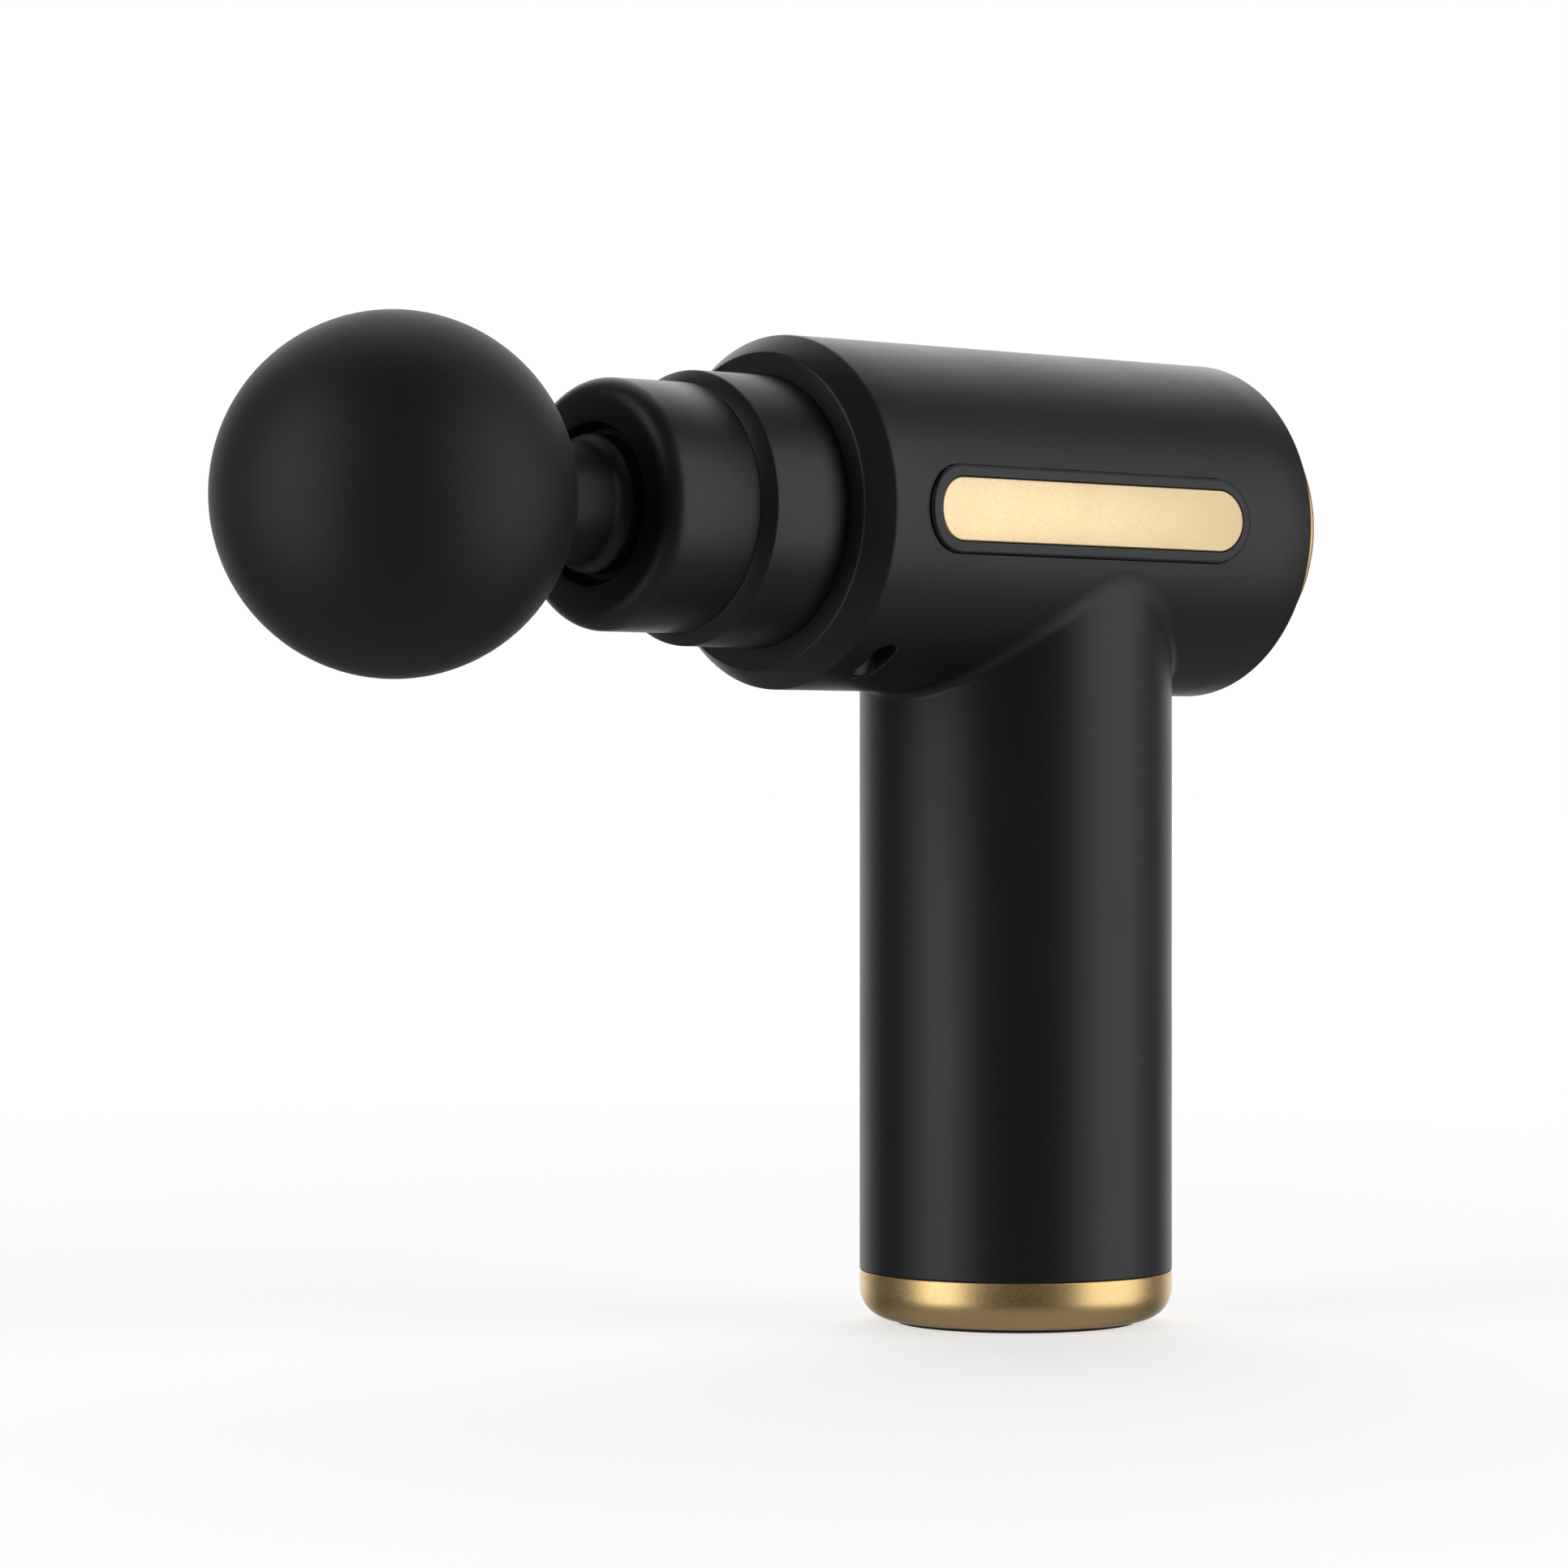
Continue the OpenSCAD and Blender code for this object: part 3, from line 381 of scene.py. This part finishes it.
def addWorld():
    # the camera sees plain white; the gun sees a white backdrop, a bright ceiling and a dim room
    world = bpy.data.worlds.new("Studio")
    bpy.context.scene.world = world
    world.use_nodes = True
    nodes, links = world.node_tree.nodes, world.node_tree.links
    background = nodes["Background"]
    place = nodes.new("ShaderNodeTexCoord")

    def facing(direction, start, end, low, high):
        dot = nodes.new("ShaderNodeVectorMath")
        dot.operation = "DOT_PRODUCT"
        dot.inputs[1].default_value = direction
        links.new(place.outputs["Generated"], dot.inputs[0])
        ramp = nodes.new("ShaderNodeMapRange")
        ramp.interpolation_type = "SMOOTHSTEP"
        ramp.inputs["From Min"].default_value = start
        ramp.inputs["From Max"].default_value = end
        ramp.inputs["To Min"].default_value = low
        ramp.inputs["To Max"].default_value = high
        links.new(dot.outputs["Value"], ramp.inputs["Value"])
        return ramp.outputs["Result"]

    behind = facing(ahead, 0.6, 0.95, studio["front"], studio["back"])
    above = facing((ahead * 0.7 + Vector((0, 0, 0.714))), 0.76, 0.97, 0, studio["above"])
    below = facing((0, 0, -1), 0.25, 0.8, 0, studio["below"])
    overFloor = facing((0, 0, 1), -0.45, -0.12, 0, 1)
    seenBehind = nodes.new("ShaderNodeMath")
    seenBehind.operation = "MULTIPLY"
    links.new(behind, seenBehind.inputs[0])
    links.new(overFloor, seenBehind.inputs[1])
    total = seenBehind.outputs["Value"]
    for light in (above, below):
        adding = nodes.new("ShaderNodeMath")
        links.new(total, adding.inputs[0])
        links.new(light, adding.inputs[1])
        total = adding.outputs["Value"]
    path = nodes.new("ShaderNodeLightPath")
    choice = nodes.new("ShaderNodeMix")
    choice.inputs["B"].default_value = studio["background"]
    links.new(path.outputs["Is Camera Ray"], choice.inputs["Factor"])
    links.new(total, choice.inputs["A"])
    links.new(choice.outputs["Result"], background.inputs["Strength"])
    background.inputs["Color"].default_value = (1, 1, 1, 1)


def addFloor():
    floor = bmesh.new()
    bmesh.ops.create_grid(floor, x_segments=1, y_segments=1, size=8)
    data = bpy.data.meshes.new("Floor")
    floor.to_mesh(data)
    floor.free()
    paper = Recipe("Floor paper", (studio["floorTone"],) * 3, 0.9)
    paper.setting("Specular IOR Level", 0.1)
    # the floor glows for camera rays only, dimmer near the gun than far off: painted shade round the foot, brighter
    # paper further out
    distance = paper.add("ShaderNodeVectorMath", operation="LENGTH")
    paper.join(paper.place, distance.inputs[0])
    glowWithPaintedShade = paper.add("ShaderNodeMapRange")
    glowWithPaintedShade.inputs["From Min"].default_value = 0.15
    glowWithPaintedShade.inputs["From Max"].default_value = 1.5
    glowWithPaintedShade.inputs["To Min"].default_value = studio["floorNearPaintedShade"]
    glowWithPaintedShade.inputs["To Max"].default_value = studio["floorFar"]
    paper.join(distance.outputs["Value"], glowWithPaintedShade.inputs["Value"])
    seen = paper.add("ShaderNodeMath", operation="MULTIPLY")
    paper.join(glowWithPaintedShade.outputs["Result"], seen.inputs[0])
    paper.join(paper.add("ShaderNodeLightPath").outputs["Is Camera Ray"], seen.inputs[1])
    paper.join(seen.outputs["Value"], paper.shader.inputs["Emission Strength"])
    paper.setting("Emission Color", (1, 1, 1, 1))
    data.materials.append(paper.material)
    ground = bpy.data.objects.new("Floor", data)
    bpy.context.scene.collection.objects.link(ground)
    # reflections and lights pass through the floor, as if the gun stood on glass over a bright room
    ground.visible_glossy = False
    ground.visible_shadow = False


def addStudio():
    bpy.context.scene.view_settings.view_transform = "Standard"
    addWorld()
    addFloor()
    softbox("Softbox left", -59, 1.0, (0.66, 1.6), studio["leftBox"], 0.3)
    softbox("Softbox right", 73, 1.0, (1.02, 1.6), studio["rightBox"], 0.3)


addStudio()
print("studio is set")

# ---------- ball and stem ----------

ball = {"radius": nodeRadius("ball_skin", 0), "skin": 1.4 * mm, "neckRadius": 8.4 * mm, "around": 128, "along": 72,
        "openingLip": 0.35 * mm}
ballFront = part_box("ball_skin")[0][1]
ballCentre = ballFront + ball["radius"]


def buildBall():
    mesh = bmesh.new()
    bmesh.ops.create_uvsphere(mesh, u_segments=ball["around"], v_segments=ball["along"], radius=ball["radius"])
    movePiece(mesh, Matrix.Translation((0, ballCentre, axisHeight)) @ Matrix.Rotation(math.pi / 2, 4, "X"))
    opening = ball["neckRadius"] + 0.04 * mm
    back = ballCentre + math.sqrt(ball["radius"] ** 2 - opening ** 2)
    bmesh.ops.bisect_plane(mesh, geom=mesh.verts[:] + mesh.edges[:] + mesh.faces[:], dist=1e-7,
                           plane_co=(0, back, 0), plane_no=(0, 1, 0), clear_outer=True)
    bmesh.ops.recalc_face_normals(mesh, faces=mesh.faces)
    shell = finishPiece("ballSkin", mesh, "head", ["ball_skin"], finishes["ball"], 60)
    wall = shell.modifiers.new("Wall", "SOLIDIFY")
    wall.thickness = ball["skin"]
    wall.offset = -1


buildBall()

stem = {"waist": 8 * mm, "flare": 2.6 * mm, "flareTurn": 52, "ringLength": 0.5 * mm, "flange": 9.2 * mm, "flangeLength": 2.3 * mm, "spigot": 7.8 * mm, "spigotLength": 18 * mm,
        "bore": 4.8 * mm, "rounding": 0.15 * mm, "groove": 1.6 * mm, "grooves": (5.15 * mm, 12.15 * mm), "grooveWidth": 1.7 * mm}
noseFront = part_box("nose_cap")[0][1]


def buildStem():
    # the neck narrows a little, widens in a curve and ends at the flange's rim; then comes the spigot
    start = ballCentre + 14 * mm
    neckStart = ballCentre + math.sqrt(ball["radius"] ** 2 - ball["neckRadius"] ** 2)
    turn = math.radians(stem["flareTurn"])
    flareStart = noseFront - stem["ringLength"] - stem["flare"] * math.sin(turn)
    rings = [(stem["bore"], start), (ball["neckRadius"], start), (ball["neckRadius"], neckStart + 0.3 * mm),
             (stem["waist"], neckStart + 2 * mm)]
    for part in range(9):
        lean = turn * part / 8
        rings.append((stem["waist"] + stem["flare"] * (1 - math.cos(lean)), flareStart + stem["flare"] * math.sin(lean)))
    edge = len(rings)
    shoulder = noseFront + stem["flangeLength"]
    rings += [(stem["flange"], noseFront - stem["ringLength"]), (stem["flange"], shoulder), (stem["spigot"], shoulder)]
    for groove in stem["grooves"]:
        low = shoulder + groove
        high = low + stem["grooveWidth"]
        rings += [(stem["spigot"], low), (stem["spigot"] - stem["groove"], low),
                  (stem["spigot"] - stem["groove"], high), (stem["spigot"], high)]
    tail = len(rings)
    rings += [(stem["spigot"], shoulder + stem["spigotLength"]), (stem["bore"], shoulder + stem["spigotLength"])]
    mesh = turnedMesh(rings, {edge: (stem["rounding"], 3), tail: (0.5 * mm, 2)}, steps=128)
    finishPiece("stem", mesh, "head", ["head_stem"], finishes["nose"], 20)


buildStem()

plunger = {"bore": 7.85 * mm, "lip": 0.35 * mm, "depth": 46 * mm}


def buildPlungerFront():
    # the CAD plunger stays; this ring is its rounded front lip
    radius = nodeRadius("plunger", 0)
    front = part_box("plunger")[0][1]
    mesh = turnedMesh([(plunger["bore"], front), (radius, front), (radius, front + 3 * mm), (plunger["bore"], front + 3 * mm)],
                      {1: (plunger["lip"], 4)}, steps=128)
    return mesh


# ---------- nose ----------

nose = {"mouth": 10.65 * mm, "mouthRounding": 0.45 * mm, "wall": 2.5 * mm, "fillet": 2.8 * mm, "spigot": 15.5 * mm,
        "spigotLength": 7 * mm, "collarBevel": 1.5 * mm, "edge": 0.15 * mm, "collarFlange": 2 * mm, "sleeveHole": 14.5 * mm}
capRadius = nodeRadius("nose_cap", 0)
collarRadius = 18.4 * mm
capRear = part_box("nose_collar")[0][1]
housingWall = 2.5 * mm


def buildNoseCap():
    tail = capRear + nose["spigotLength"]
    inner = nose["spigot"] - 1 * mm
    profile = [(nose["mouth"], noseFront), (capRadius, noseFront), (capRadius, capRear), (nose["spigot"], capRear),
               (nose["spigot"], tail), (inner, tail), (inner, noseFront + nose["wall"]), (nose["mouth"], noseFront + nose["wall"])]
    mesh = turnedMesh(profile, {0: (nose["mouthRounding"], 4), 1: (nose["fillet"], 12), 2: (nose["edge"], 2)}, steps=192)
    finishPiece("noseCap", mesh, "casing", ["nose_cap"], finishes["nose"])


def buildCollar():
    root = barrelFront + housingWall
    flange = nodeRadius("nose_collar", 0)
    socket = nose["spigot"] + 0.05 * mm
    socketEnd = capRear + nose["spigotLength"]
    profile = [(socket, capRear), (capRadius, capRear), (collarRadius, capRear + nose["collarBevel"]), (collarRadius, root),
               (flange, root), (flange, root + nose["collarFlange"]), (nose["sleeveHole"], root + nose["collarFlange"]),
               (nose["sleeveHole"], socketEnd), (socket, socketEnd)]
    mesh = turnedMesh(profile, {1: (nose["edge"], 2), 2: (nose["edge"] * 1.5, 3)}, steps=192)
    finishPiece("noseCollar", mesh, "casing", ["nose_collar"], finishes["nose"])


buildNoseCap()
buildCollar()
print("head and nose are built")

# ---------- housing ----------

housing = {"wall": 2.2 * mm, "frontBevelLength": 3.5 * mm, "frontBevelDepth": 2.6 * mm, "frontEdge": 0.3 * mm,
           "rearEdge": 0.35 * mm, "footEdge": 0.2 * mm, "around": 256, "rings": 12, "blendUp": 2.0 * mm, "blendDown": 1.4 * mm, "blendSteps": 10}
sideTrim = {"length": 58.4 * mm, "width": 8.75 * mm, "bezel": 1.65 * mm, "centre": -8.55 * mm, "proud": 0.6 * mm,
            "pocket": 1.1 * mm, "crease": 0.16 * mm, "plateDepth": 0.4 * mm, "bezelSlope": 0.42 * mm, "plateEdge": 0.3 * mm}
strapSlot = {"length": 8.7 * mm, "width": 3.8 * mm, "along": -38.6 * mm, "angle": -59.5, "flare": 0.2 * mm,
             "depth": 5 * mm, "ramp": 5 * mm}
chargingPort = {"length": 9.54 * mm, "width": 3.86 * mm, "height": 24 * mm}
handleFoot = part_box("housing")[0][2]


def flatPill(length, width, low, high, steps=20):
    # a pill that lies along Y about the origin and is pulled out along X from low to high
    mesh = bmesh.new()
    half = (length - width) / 2
    first = mesh.verts.new((low, half, -width / 2))
    bmesh.ops.spin(mesh, geom=[first], cent=(low, half, 0), axis=(1, 0, 0), angle=math.pi, steps=steps)
    arc = mesh.verts[:] + mesh.edges[:]
    copy = bmesh.ops.duplicate(mesh, geom=arc)["geom"]
    bmesh.ops.rotate(mesh, verts=[part for part in copy if isinstance(part, bmesh.types.BMVert)],
                     cent=(low, 0, 0), matrix=Matrix.Rotation(math.pi, 3, "X"))
    ends = [vert for vert in mesh.verts if len(vert.link_edges) == 1]
    for sign in (-1, 1):
        mesh.edges.new([vert for vert in ends if vert.co.z * sign > 0])
    face = bmesh.ops.contextual_create(mesh, geom=mesh.edges[:])["faces"]
    out = bmesh.ops.extrude_face_region(mesh, geom=face, use_keep_orig=True)["geom"]
    bmesh.ops.translate(mesh, verts=[part for part in out if isinstance(part, bmesh.types.BMVert)],
                        vec=(high - low, 0, 0))
    bmesh.ops.recalc_face_normals(mesh, faces=mesh.faces)
    return mesh


def sliced(mesh, step=0.6 * mm):
    # cuts a flat piece into strips so that it can be rolled round the barrel
    reach = max(vert.co.z for vert in mesh.verts)
    count = int(reach / step)
    for line in range(-count, count + 1):
        bmesh.ops.bisect_plane(mesh, geom=mesh.verts[:] + mesh.edges[:] + mesh.faces[:], dist=1e-6,
                               plane_co=(0, 0, line * step), plane_no=(0, 0, 1))
    return mesh


def rolled(mesh, along, angle=0.0):
    # rolls a flat piece onto the barrel: X is its height above the barrel, Z runs round it
    outer = barrelRadius + sideTrim["proud"]
    for vert in mesh.verts:
        height, lengthwise, round_ = vert.co
        turn = math.radians(angle) + math.asin(round_ / outer)
        reach = barrelRadius + height
        vert.co = (reach * math.cos(turn), lengthwise + along, axisHeight + reach * math.sin(turn))
    return mesh


def mirrored(mesh):
    bmesh.ops.scale(mesh, vec=(-1, 1, 1), verts=mesh.verts)
    bmesh.ops.reverse_faces(mesh, faces=mesh.faces)
    return mesh


def topRim(mesh, top):
    # the edges round the upper face of a flat piece
    return [edge for edge in mesh.edges
            if all(abs(vert.co.x - top) < 1e-7 for vert in edge.verts)
            and any(abs(face.normal.x) < 0.5 for face in edge.link_faces)]


def slotCutter():
    # the pill is turned to run round the barrel; its lower end slopes in like a ramp
    mesh = flatPill(strapSlot["length"], strapSlot["width"], -strapSlot["depth"], 0.6 * mm)
    for vert in mesh.verts:
        vert.co.y, vert.co.z = vert.co.z, vert.co.y
        if vert.co.x < 0 and vert.co.z < 0:
            vert.co.z += strapSlot["ramp"] * min(1, -2 * vert.co.z / strapSlot["length"])
    bmesh.ops.reverse_faces(mesh, faces=mesh.faces)
    bmesh.ops.recalc_face_normals(mesh, faces=mesh.faces)
    return sliced(mesh, 0.5 * mm)


def slotMouth():
    flare = strapSlot["flare"]
    mesh = flatPill(strapSlot["length"] + 4 * flare, strapSlot["width"] + 4 * flare, -flare, flare)
    for vert in mesh.verts:
        vert.co.y, vert.co.z = vert.co.z, vert.co.y
        if vert.co.x < 0:
            reach = strapSlot["length"] / 2 - strapSlot["width"] / 2
            middle = max(-reach, min(reach, vert.co.z))
            out = Vector((0, vert.co.y, vert.co.z - middle))
            vert.co -= out.normalized() * 2 * flare
    bmesh.ops.recalc_face_normals(mesh, faces=mesh.faces)
    return sliced(mesh, 0.5 * mm)


def blendRing():
    # the soft fillet where the handle runs into the barrel, closed inside the two walls
    loops = [[] for _ in range(housing["blendSteps"] + 4)]
    for step in range(housing["around"]):
        turn = fullTurn * step / housing["around"]
        handleOut = Vector((math.cos(turn), math.sin(turn), 0))
        side = handleRadius * math.cos(turn)
        depth = math.sqrt(barrelRadius ** 2 - side ** 2)
        crease = Vector((side, handleRadius * math.sin(turn), axisHeight - depth))
        barrelOut = Vector((side, 0, -depth)) / barrelRadius
        tangent = handleOut.cross(barrelOut).normalized()
        down = tangent.cross(handleOut).normalized()
        if down.z > 0:
            down.negate()
        away = tangent.cross(barrelOut).normalized()
        if away.dot(handleOut) < 0:
            away.negate()
        onHandle = crease + down * housing["blendDown"]
        onBarrel = crease + away * housing["blendUp"]
        drop = math.hypot(onBarrel.x, onBarrel.z - axisHeight) / barrelRadius
        onBarrel = Vector((onBarrel.x / drop, onBarrel.y, axisHeight + (onBarrel.z - axisHeight) / drop))
        drop = math.hypot(onHandle.x, onHandle.y) / handleRadius
        onHandle = Vector((onHandle.x / drop, onHandle.y / drop, onHandle.z))
        opening = math.pi - handleOut.angle(barrelOut)
        weight = math.sin(opening / 2)
        line = [crease - (handleOut + barrelOut).normalized() * 0.9 * mm,
                onHandle + down * 0.4 * mm - handleOut * 0.015 * mm]
        for part in range(housing["blendSteps"] + 1):
            share = part / housing["blendSteps"]
            pull = 2 * share * (1 - share) * weight
            total = (1 - share) ** 2 + pull + share ** 2
            line.append(((1 - share) ** 2 * onHandle + pull * crease + share ** 2 * onBarrel) / total)
        barrelNow = Vector((onBarrel.x, 0, onBarrel.z - axisHeight)).normalized()
        line.append(onBarrel + away * 0.4 * mm - barrelNow * 0.02 * mm)
        for loop, point in zip(loops, line):
            loop.append(point)
    mesh = bmesh.new()
    rings = []
    for loop in loops:
        circle = bmesh.ops.create_circle(mesh, segments=housing["around"], radius=handleRadius)["verts"]
        for vert, point in zip(circle, loop):
            vert.co = point
        rings.append(circle)
    for near, far in zip(rings, rings[1:] + rings[:1]):
        for index in range(len(near)):
            following = (index + 1) % len(near)
            mesh.faces.new((near[index], near[following], far[following], far[index]))
    bmesh.ops.recalc_face_normals(mesh, faces=mesh.faces)
    return mesh


def housingMesh():
    rim = barrelFront + housing["frontBevelLength"]
    faceRadius = barrelRadius - housing["frontBevelDepth"]
    seat = barrelFront + housingWall
    mouth = collarRadius + 0.05 * mm
    profile = [(0, seat + 1 * mm), (mouth, seat + 1 * mm), (mouth, barrelFront), (faceRadius, barrelFront), (barrelRadius, rim)]
    rounds = {3: (housing["frontEdge"], 3), 4: (housing["frontEdge"], 3)}
    for ring in range(1, housing["rings"]):
        profile.append((barrelRadius, rim + (barrelRear - rim) * ring / housing["rings"]))
    rounds[len(profile)] = (housing["rearEdge"], 3)
    profile += [(barrelRadius, barrelRear), (0, barrelRear)]
    barrel = turnedMesh(profile, rounds, steps=housing["around"])
    levels = [handleFoot + (axisHeight - handleFoot) * level / housing["rings"] for level in range(housing["rings"] + 1)]
    handle = turnedMesh([(0, handleFoot)] + [(handleRadius, level) for level in levels] + [(0, axisHeight)],
                        {1: (housing["footEdge"], 2)}, True, steps=housing["around"])
    outside = combined(barrel, [handle], "UNION")
    boreRadius = barrelRadius - housing["wall"]
    bore = turnedMesh([(0, seat), (boreRadius, seat), (boreRadius, barrelRear + 2 * mm), (0, barrelRear + 2 * mm)], {}, steps=128)
    gripBore = handleRadius - housing["wall"]
    well = turnedMesh([(0, handleFoot - 2 * mm), (gripBore, handleFoot - 2 * mm), (gripBore, axisHeight), (0, axisHeight)], {}, True, steps=128)
    cutters = [bore, well]
    pocketLength = sideTrim["length"] + 2 * sideTrim["bezel"] + 2 * sideTrim["crease"]
    pocketWidth = sideTrim["width"] + 2 * sideTrim["bezel"] + 2 * sideTrim["crease"]
    for flip in (False, True):
        pocket = rolled(sliced(flatPill(pocketLength, pocketWidth, -sideTrim["pocket"], 1 * mm)), sideTrim["centre"])
        slot = rolled(slotCutter(), strapSlot["along"], strapSlot["angle"])
        lips = rolled(slotMouth(), strapSlot["along"], strapSlot["angle"])
        for cutter in (pocket, slot, lips):
            cutters.append(mirrored(cutter) if flip else cutter)
    port = flatPill(chargingPort["length"], chargingPort["width"], -3 * mm, 3 * mm)
    cutters.append(movePiece(port, Matrix.Translation((0, handleRadius, chargingPort["height"])) @ Matrix.Rotation(math.pi / 2, 4, "Z")))
    shell = combined(outside, cutters, "DIFFERENCE")
    ring = blendRing()
    data = bpy.data.meshes.new("scratch")
    ring.to_mesh(data)
    ring.free()
    shell.from_mesh(data)
    bpy.data.meshes.remove(data)
    return shell


finishPiece("housing", housingMesh(), "casing", ["housing"], finishes["housing"], 20)
print("housing is built")

# ---------- side trim ----------


def bezelMesh():
    length = sideTrim["length"] + 2 * sideTrim["bezel"]
    width = sideTrim["width"] + 2 * sideTrim["bezel"]
    mesh = flatPill(length, width, -sideTrim["pocket"], sideTrim["proud"])
    top = [face for face in mesh.faces if face.normal.x > 0.9]
    bmesh.ops.inset_region(mesh, faces=top, thickness=sideTrim["bezel"] - 0.05 * mm, use_even_offset=True)
    inner = [face for face in top if face.is_valid]
    sunk = bmesh.ops.extrude_face_region(mesh, geom=inner)["geom"]
    bmesh.ops.translate(mesh, verts=[part for part in sunk if isinstance(part, bmesh.types.BMVert)],
                        vec=(-sideTrim["proud"] - sideTrim["plateDepth"], 0, 0))
    bmesh.ops.delete(mesh, geom=inner, context="FACES_ONLY")
    rim = topRim(mesh, sideTrim["proud"])
    outer = [edge for edge in rim if max(abs(vert.co.z) for vert in edge.verts) > sideTrim["width"] / 2 + 1 * mm
             or max(abs(vert.co.y) for vert in edge.verts) > sideTrim["length"] / 2 + 0.2 * mm or isOuter(edge)]
    bmesh.ops.bevel(mesh, geom=outer, offset=sideTrim["bezelSlope"], offset_type="OFFSET", segments=4, profile=0.5,
                    affect="EDGES", material=-1, clamp_overlap=True)
    return sliced(mesh)


def isOuter(edge):
    # true for an edge on the outline of the bezel, false for one round the plate
    straight = (sideTrim["length"] - sideTrim["width"]) / 2
    for vert in edge.verts:
        along = max(0, abs(vert.co.y) - straight)
        if math.hypot(along, vert.co.z) < sideTrim["width"] / 2 + sideTrim["bezel"] / 2:
            return False
    return True


def plateMesh():
    mesh = flatPill(sideTrim["length"], sideTrim["width"], -sideTrim["plateDepth"], sideTrim["proud"])
    bmesh.ops.bevel(mesh, geom=topRim(mesh, sideTrim["proud"]), offset=sideTrim["plateEdge"], offset_type="OFFSET",
                    segments=4, profile=0.5, affect="EDGES", material=-1, clamp_overlap=True)
    return sliced(mesh)


for side, flip in (("right", False), ("left", True)):
    for build, part, slot, finish in ((bezelMesh, "bezel", "black_trim", "trim"), (plateMesh, "plate", "gold_plate", "plate")):
        mesh = rolled(build(), sideTrim["centre"])
        if flip:
            mesh = mirrored(mesh)
        finishPiece(f"{side}{part.title()}", mesh, "casing", [f"side_{part}_{side}"], finishes[finish], 25)
print("side trim is built")

# ---------- rear end ----------

rear = {"capRadius": nodeRadius("rear_cap", 0), "capEnd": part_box("rear_cap")[1][1], "capFillet": 1 * mm, "wall": 2.2 * mm,
        "coverThickness": 2.2 * mm, "opening": 13.95 * mm, "ringWidth": 1.45 * mm, "ringDepth": 1.6 * mm}
button = {"radius": 7.4 * mm, "gap": 0.3 * mm, "out": 0.8 * mm, "edge": 0.5 * mm, "dish": 0.35 * mm}


def buildRearEnd():
    inside = barrelRear - rear["coverThickness"]
    skirt = barrelRadius - housing["wall"] - 0.05 * mm
    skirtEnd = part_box("rear_cover")[0][1]
    cover = turnedMesh([(rear["opening"], barrelRear), (skirt, barrelRear), (skirt, skirtEnd), (skirt - 1.85 * mm, skirtEnd),
                        (skirt - 1.85 * mm, inside), (rear["opening"], inside)], {1: (0.25 * mm, 2)}, steps=160)
    finishPiece("rearCover", cover, "casing", ["rear_cover"], finishes["trim"])
    end = rear["capEnd"]
    hole = button["radius"] + button["gap"]
    step = hole + rear["ringWidth"] + 0.05 * mm
    cavity = rear["opening"] - 1.6 * mm
    flange = rear["opening"] - 0.05 * mm
    cap = turnedMesh([(step, end), (rear["capRadius"], end), (rear["capRadius"], barrelRear), (flange, barrelRear),
                      (flange, inside - 1.5 * mm), (cavity, inside - 1.5 * mm), (cavity, end - rear["wall"]),
                      (hole, end - rear["wall"]), (hole, end - rear["ringDepth"]), (step, end - rear["ringDepth"])],
                     {0: (0.15 * mm, 2), 1: (rear["capFillet"], 8)}, steps=160)
    finishPiece("rearCap", cap, "casing", ["rear_cap"], finishes["gold"])
    ring = turnedMesh([(hole, end - rear["ringDepth"]), (hole + rear["ringWidth"], end - rear["ringDepth"]),
                       (hole + rear["ringWidth"], end), (hole, end)], {2: (0.2 * mm, 3), 3: (0.2 * mm, 3)}, steps=128)
    finishPiece("buttonRing", ring, "casing", ["button_light_ring"], finishes["ring"])
    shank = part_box("power_button")[0][1]
    top = end + button["out"]
    knob = turnedMesh([(0, shank), (2.2 * mm, shank), (2.2 * mm, end - rear["wall"] - 1.5 * mm),
                       (button["radius"] + 1.2 * mm, end - rear["wall"] - 1.5 * mm),
                       (button["radius"] + 1.2 * mm, end - rear["wall"] - 0.3 * mm), (button["radius"], end - rear["wall"] - 0.3 * mm),
                       (button["radius"], top), (button["radius"] - 1.2 * mm, top), (3.5 * mm, top - 0.7 * button["dish"]),
                       (0, top - button["dish"])], {6: (button["edge"], 5)}, steps=128)
    finishPiece("powerButton", knob, "button", ["power_button"], finishes["gold"], 40)


buildRearEnd()

# ---------- foot ----------

foot = {"fillet": 4.5 * mm, "lip": 0.25 * mm, "spigot": 1.8 * mm, "padRadius": 16.95 * mm, "padRecess": 0.35 * mm, "padEdge": 0.25 * mm}


def buildFoot():
    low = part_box("base_cap")[0][2]
    spigotRadius = handleRadius - housing["wall"] - 0.05 * mm
    cavity = handleRadius - 5 * mm
    floor = low + 3 * mm
    pocket = foot["padRadius"] + 0.05 * mm
    profile = [(0, low + foot["padRecess"]), (pocket, low + foot["padRecess"]), (pocket, low), (handleRadius, low),
               (handleRadius, handleFoot), (spigotRadius, handleFoot), (spigotRadius, handleFoot + foot["spigot"]),
               (cavity, handleFoot + foot["spigot"]), (cavity, floor), (0, floor)]
    cap = turnedMesh(profile, {3: (foot["fillet"], 12), 4: (foot["lip"], 3)}, True, 192)
    finishPiece("baseCap", cap, "casing", ["base_cap"], finishes["gold"])
    pad = turnedMesh([(0, 0), (foot["padRadius"], 0), (foot["padRadius"], low + foot["padRecess"] - 0.05 * mm),
                      (0, low + foot["padRecess"] - 0.05 * mm)], {1: (foot["padEdge"], 3)}, True, 128)
    finishPiece("basePad", pad, "casing", ["base_pad"], finishes["foot"])


buildFoot()
print("rear end and foot are built")
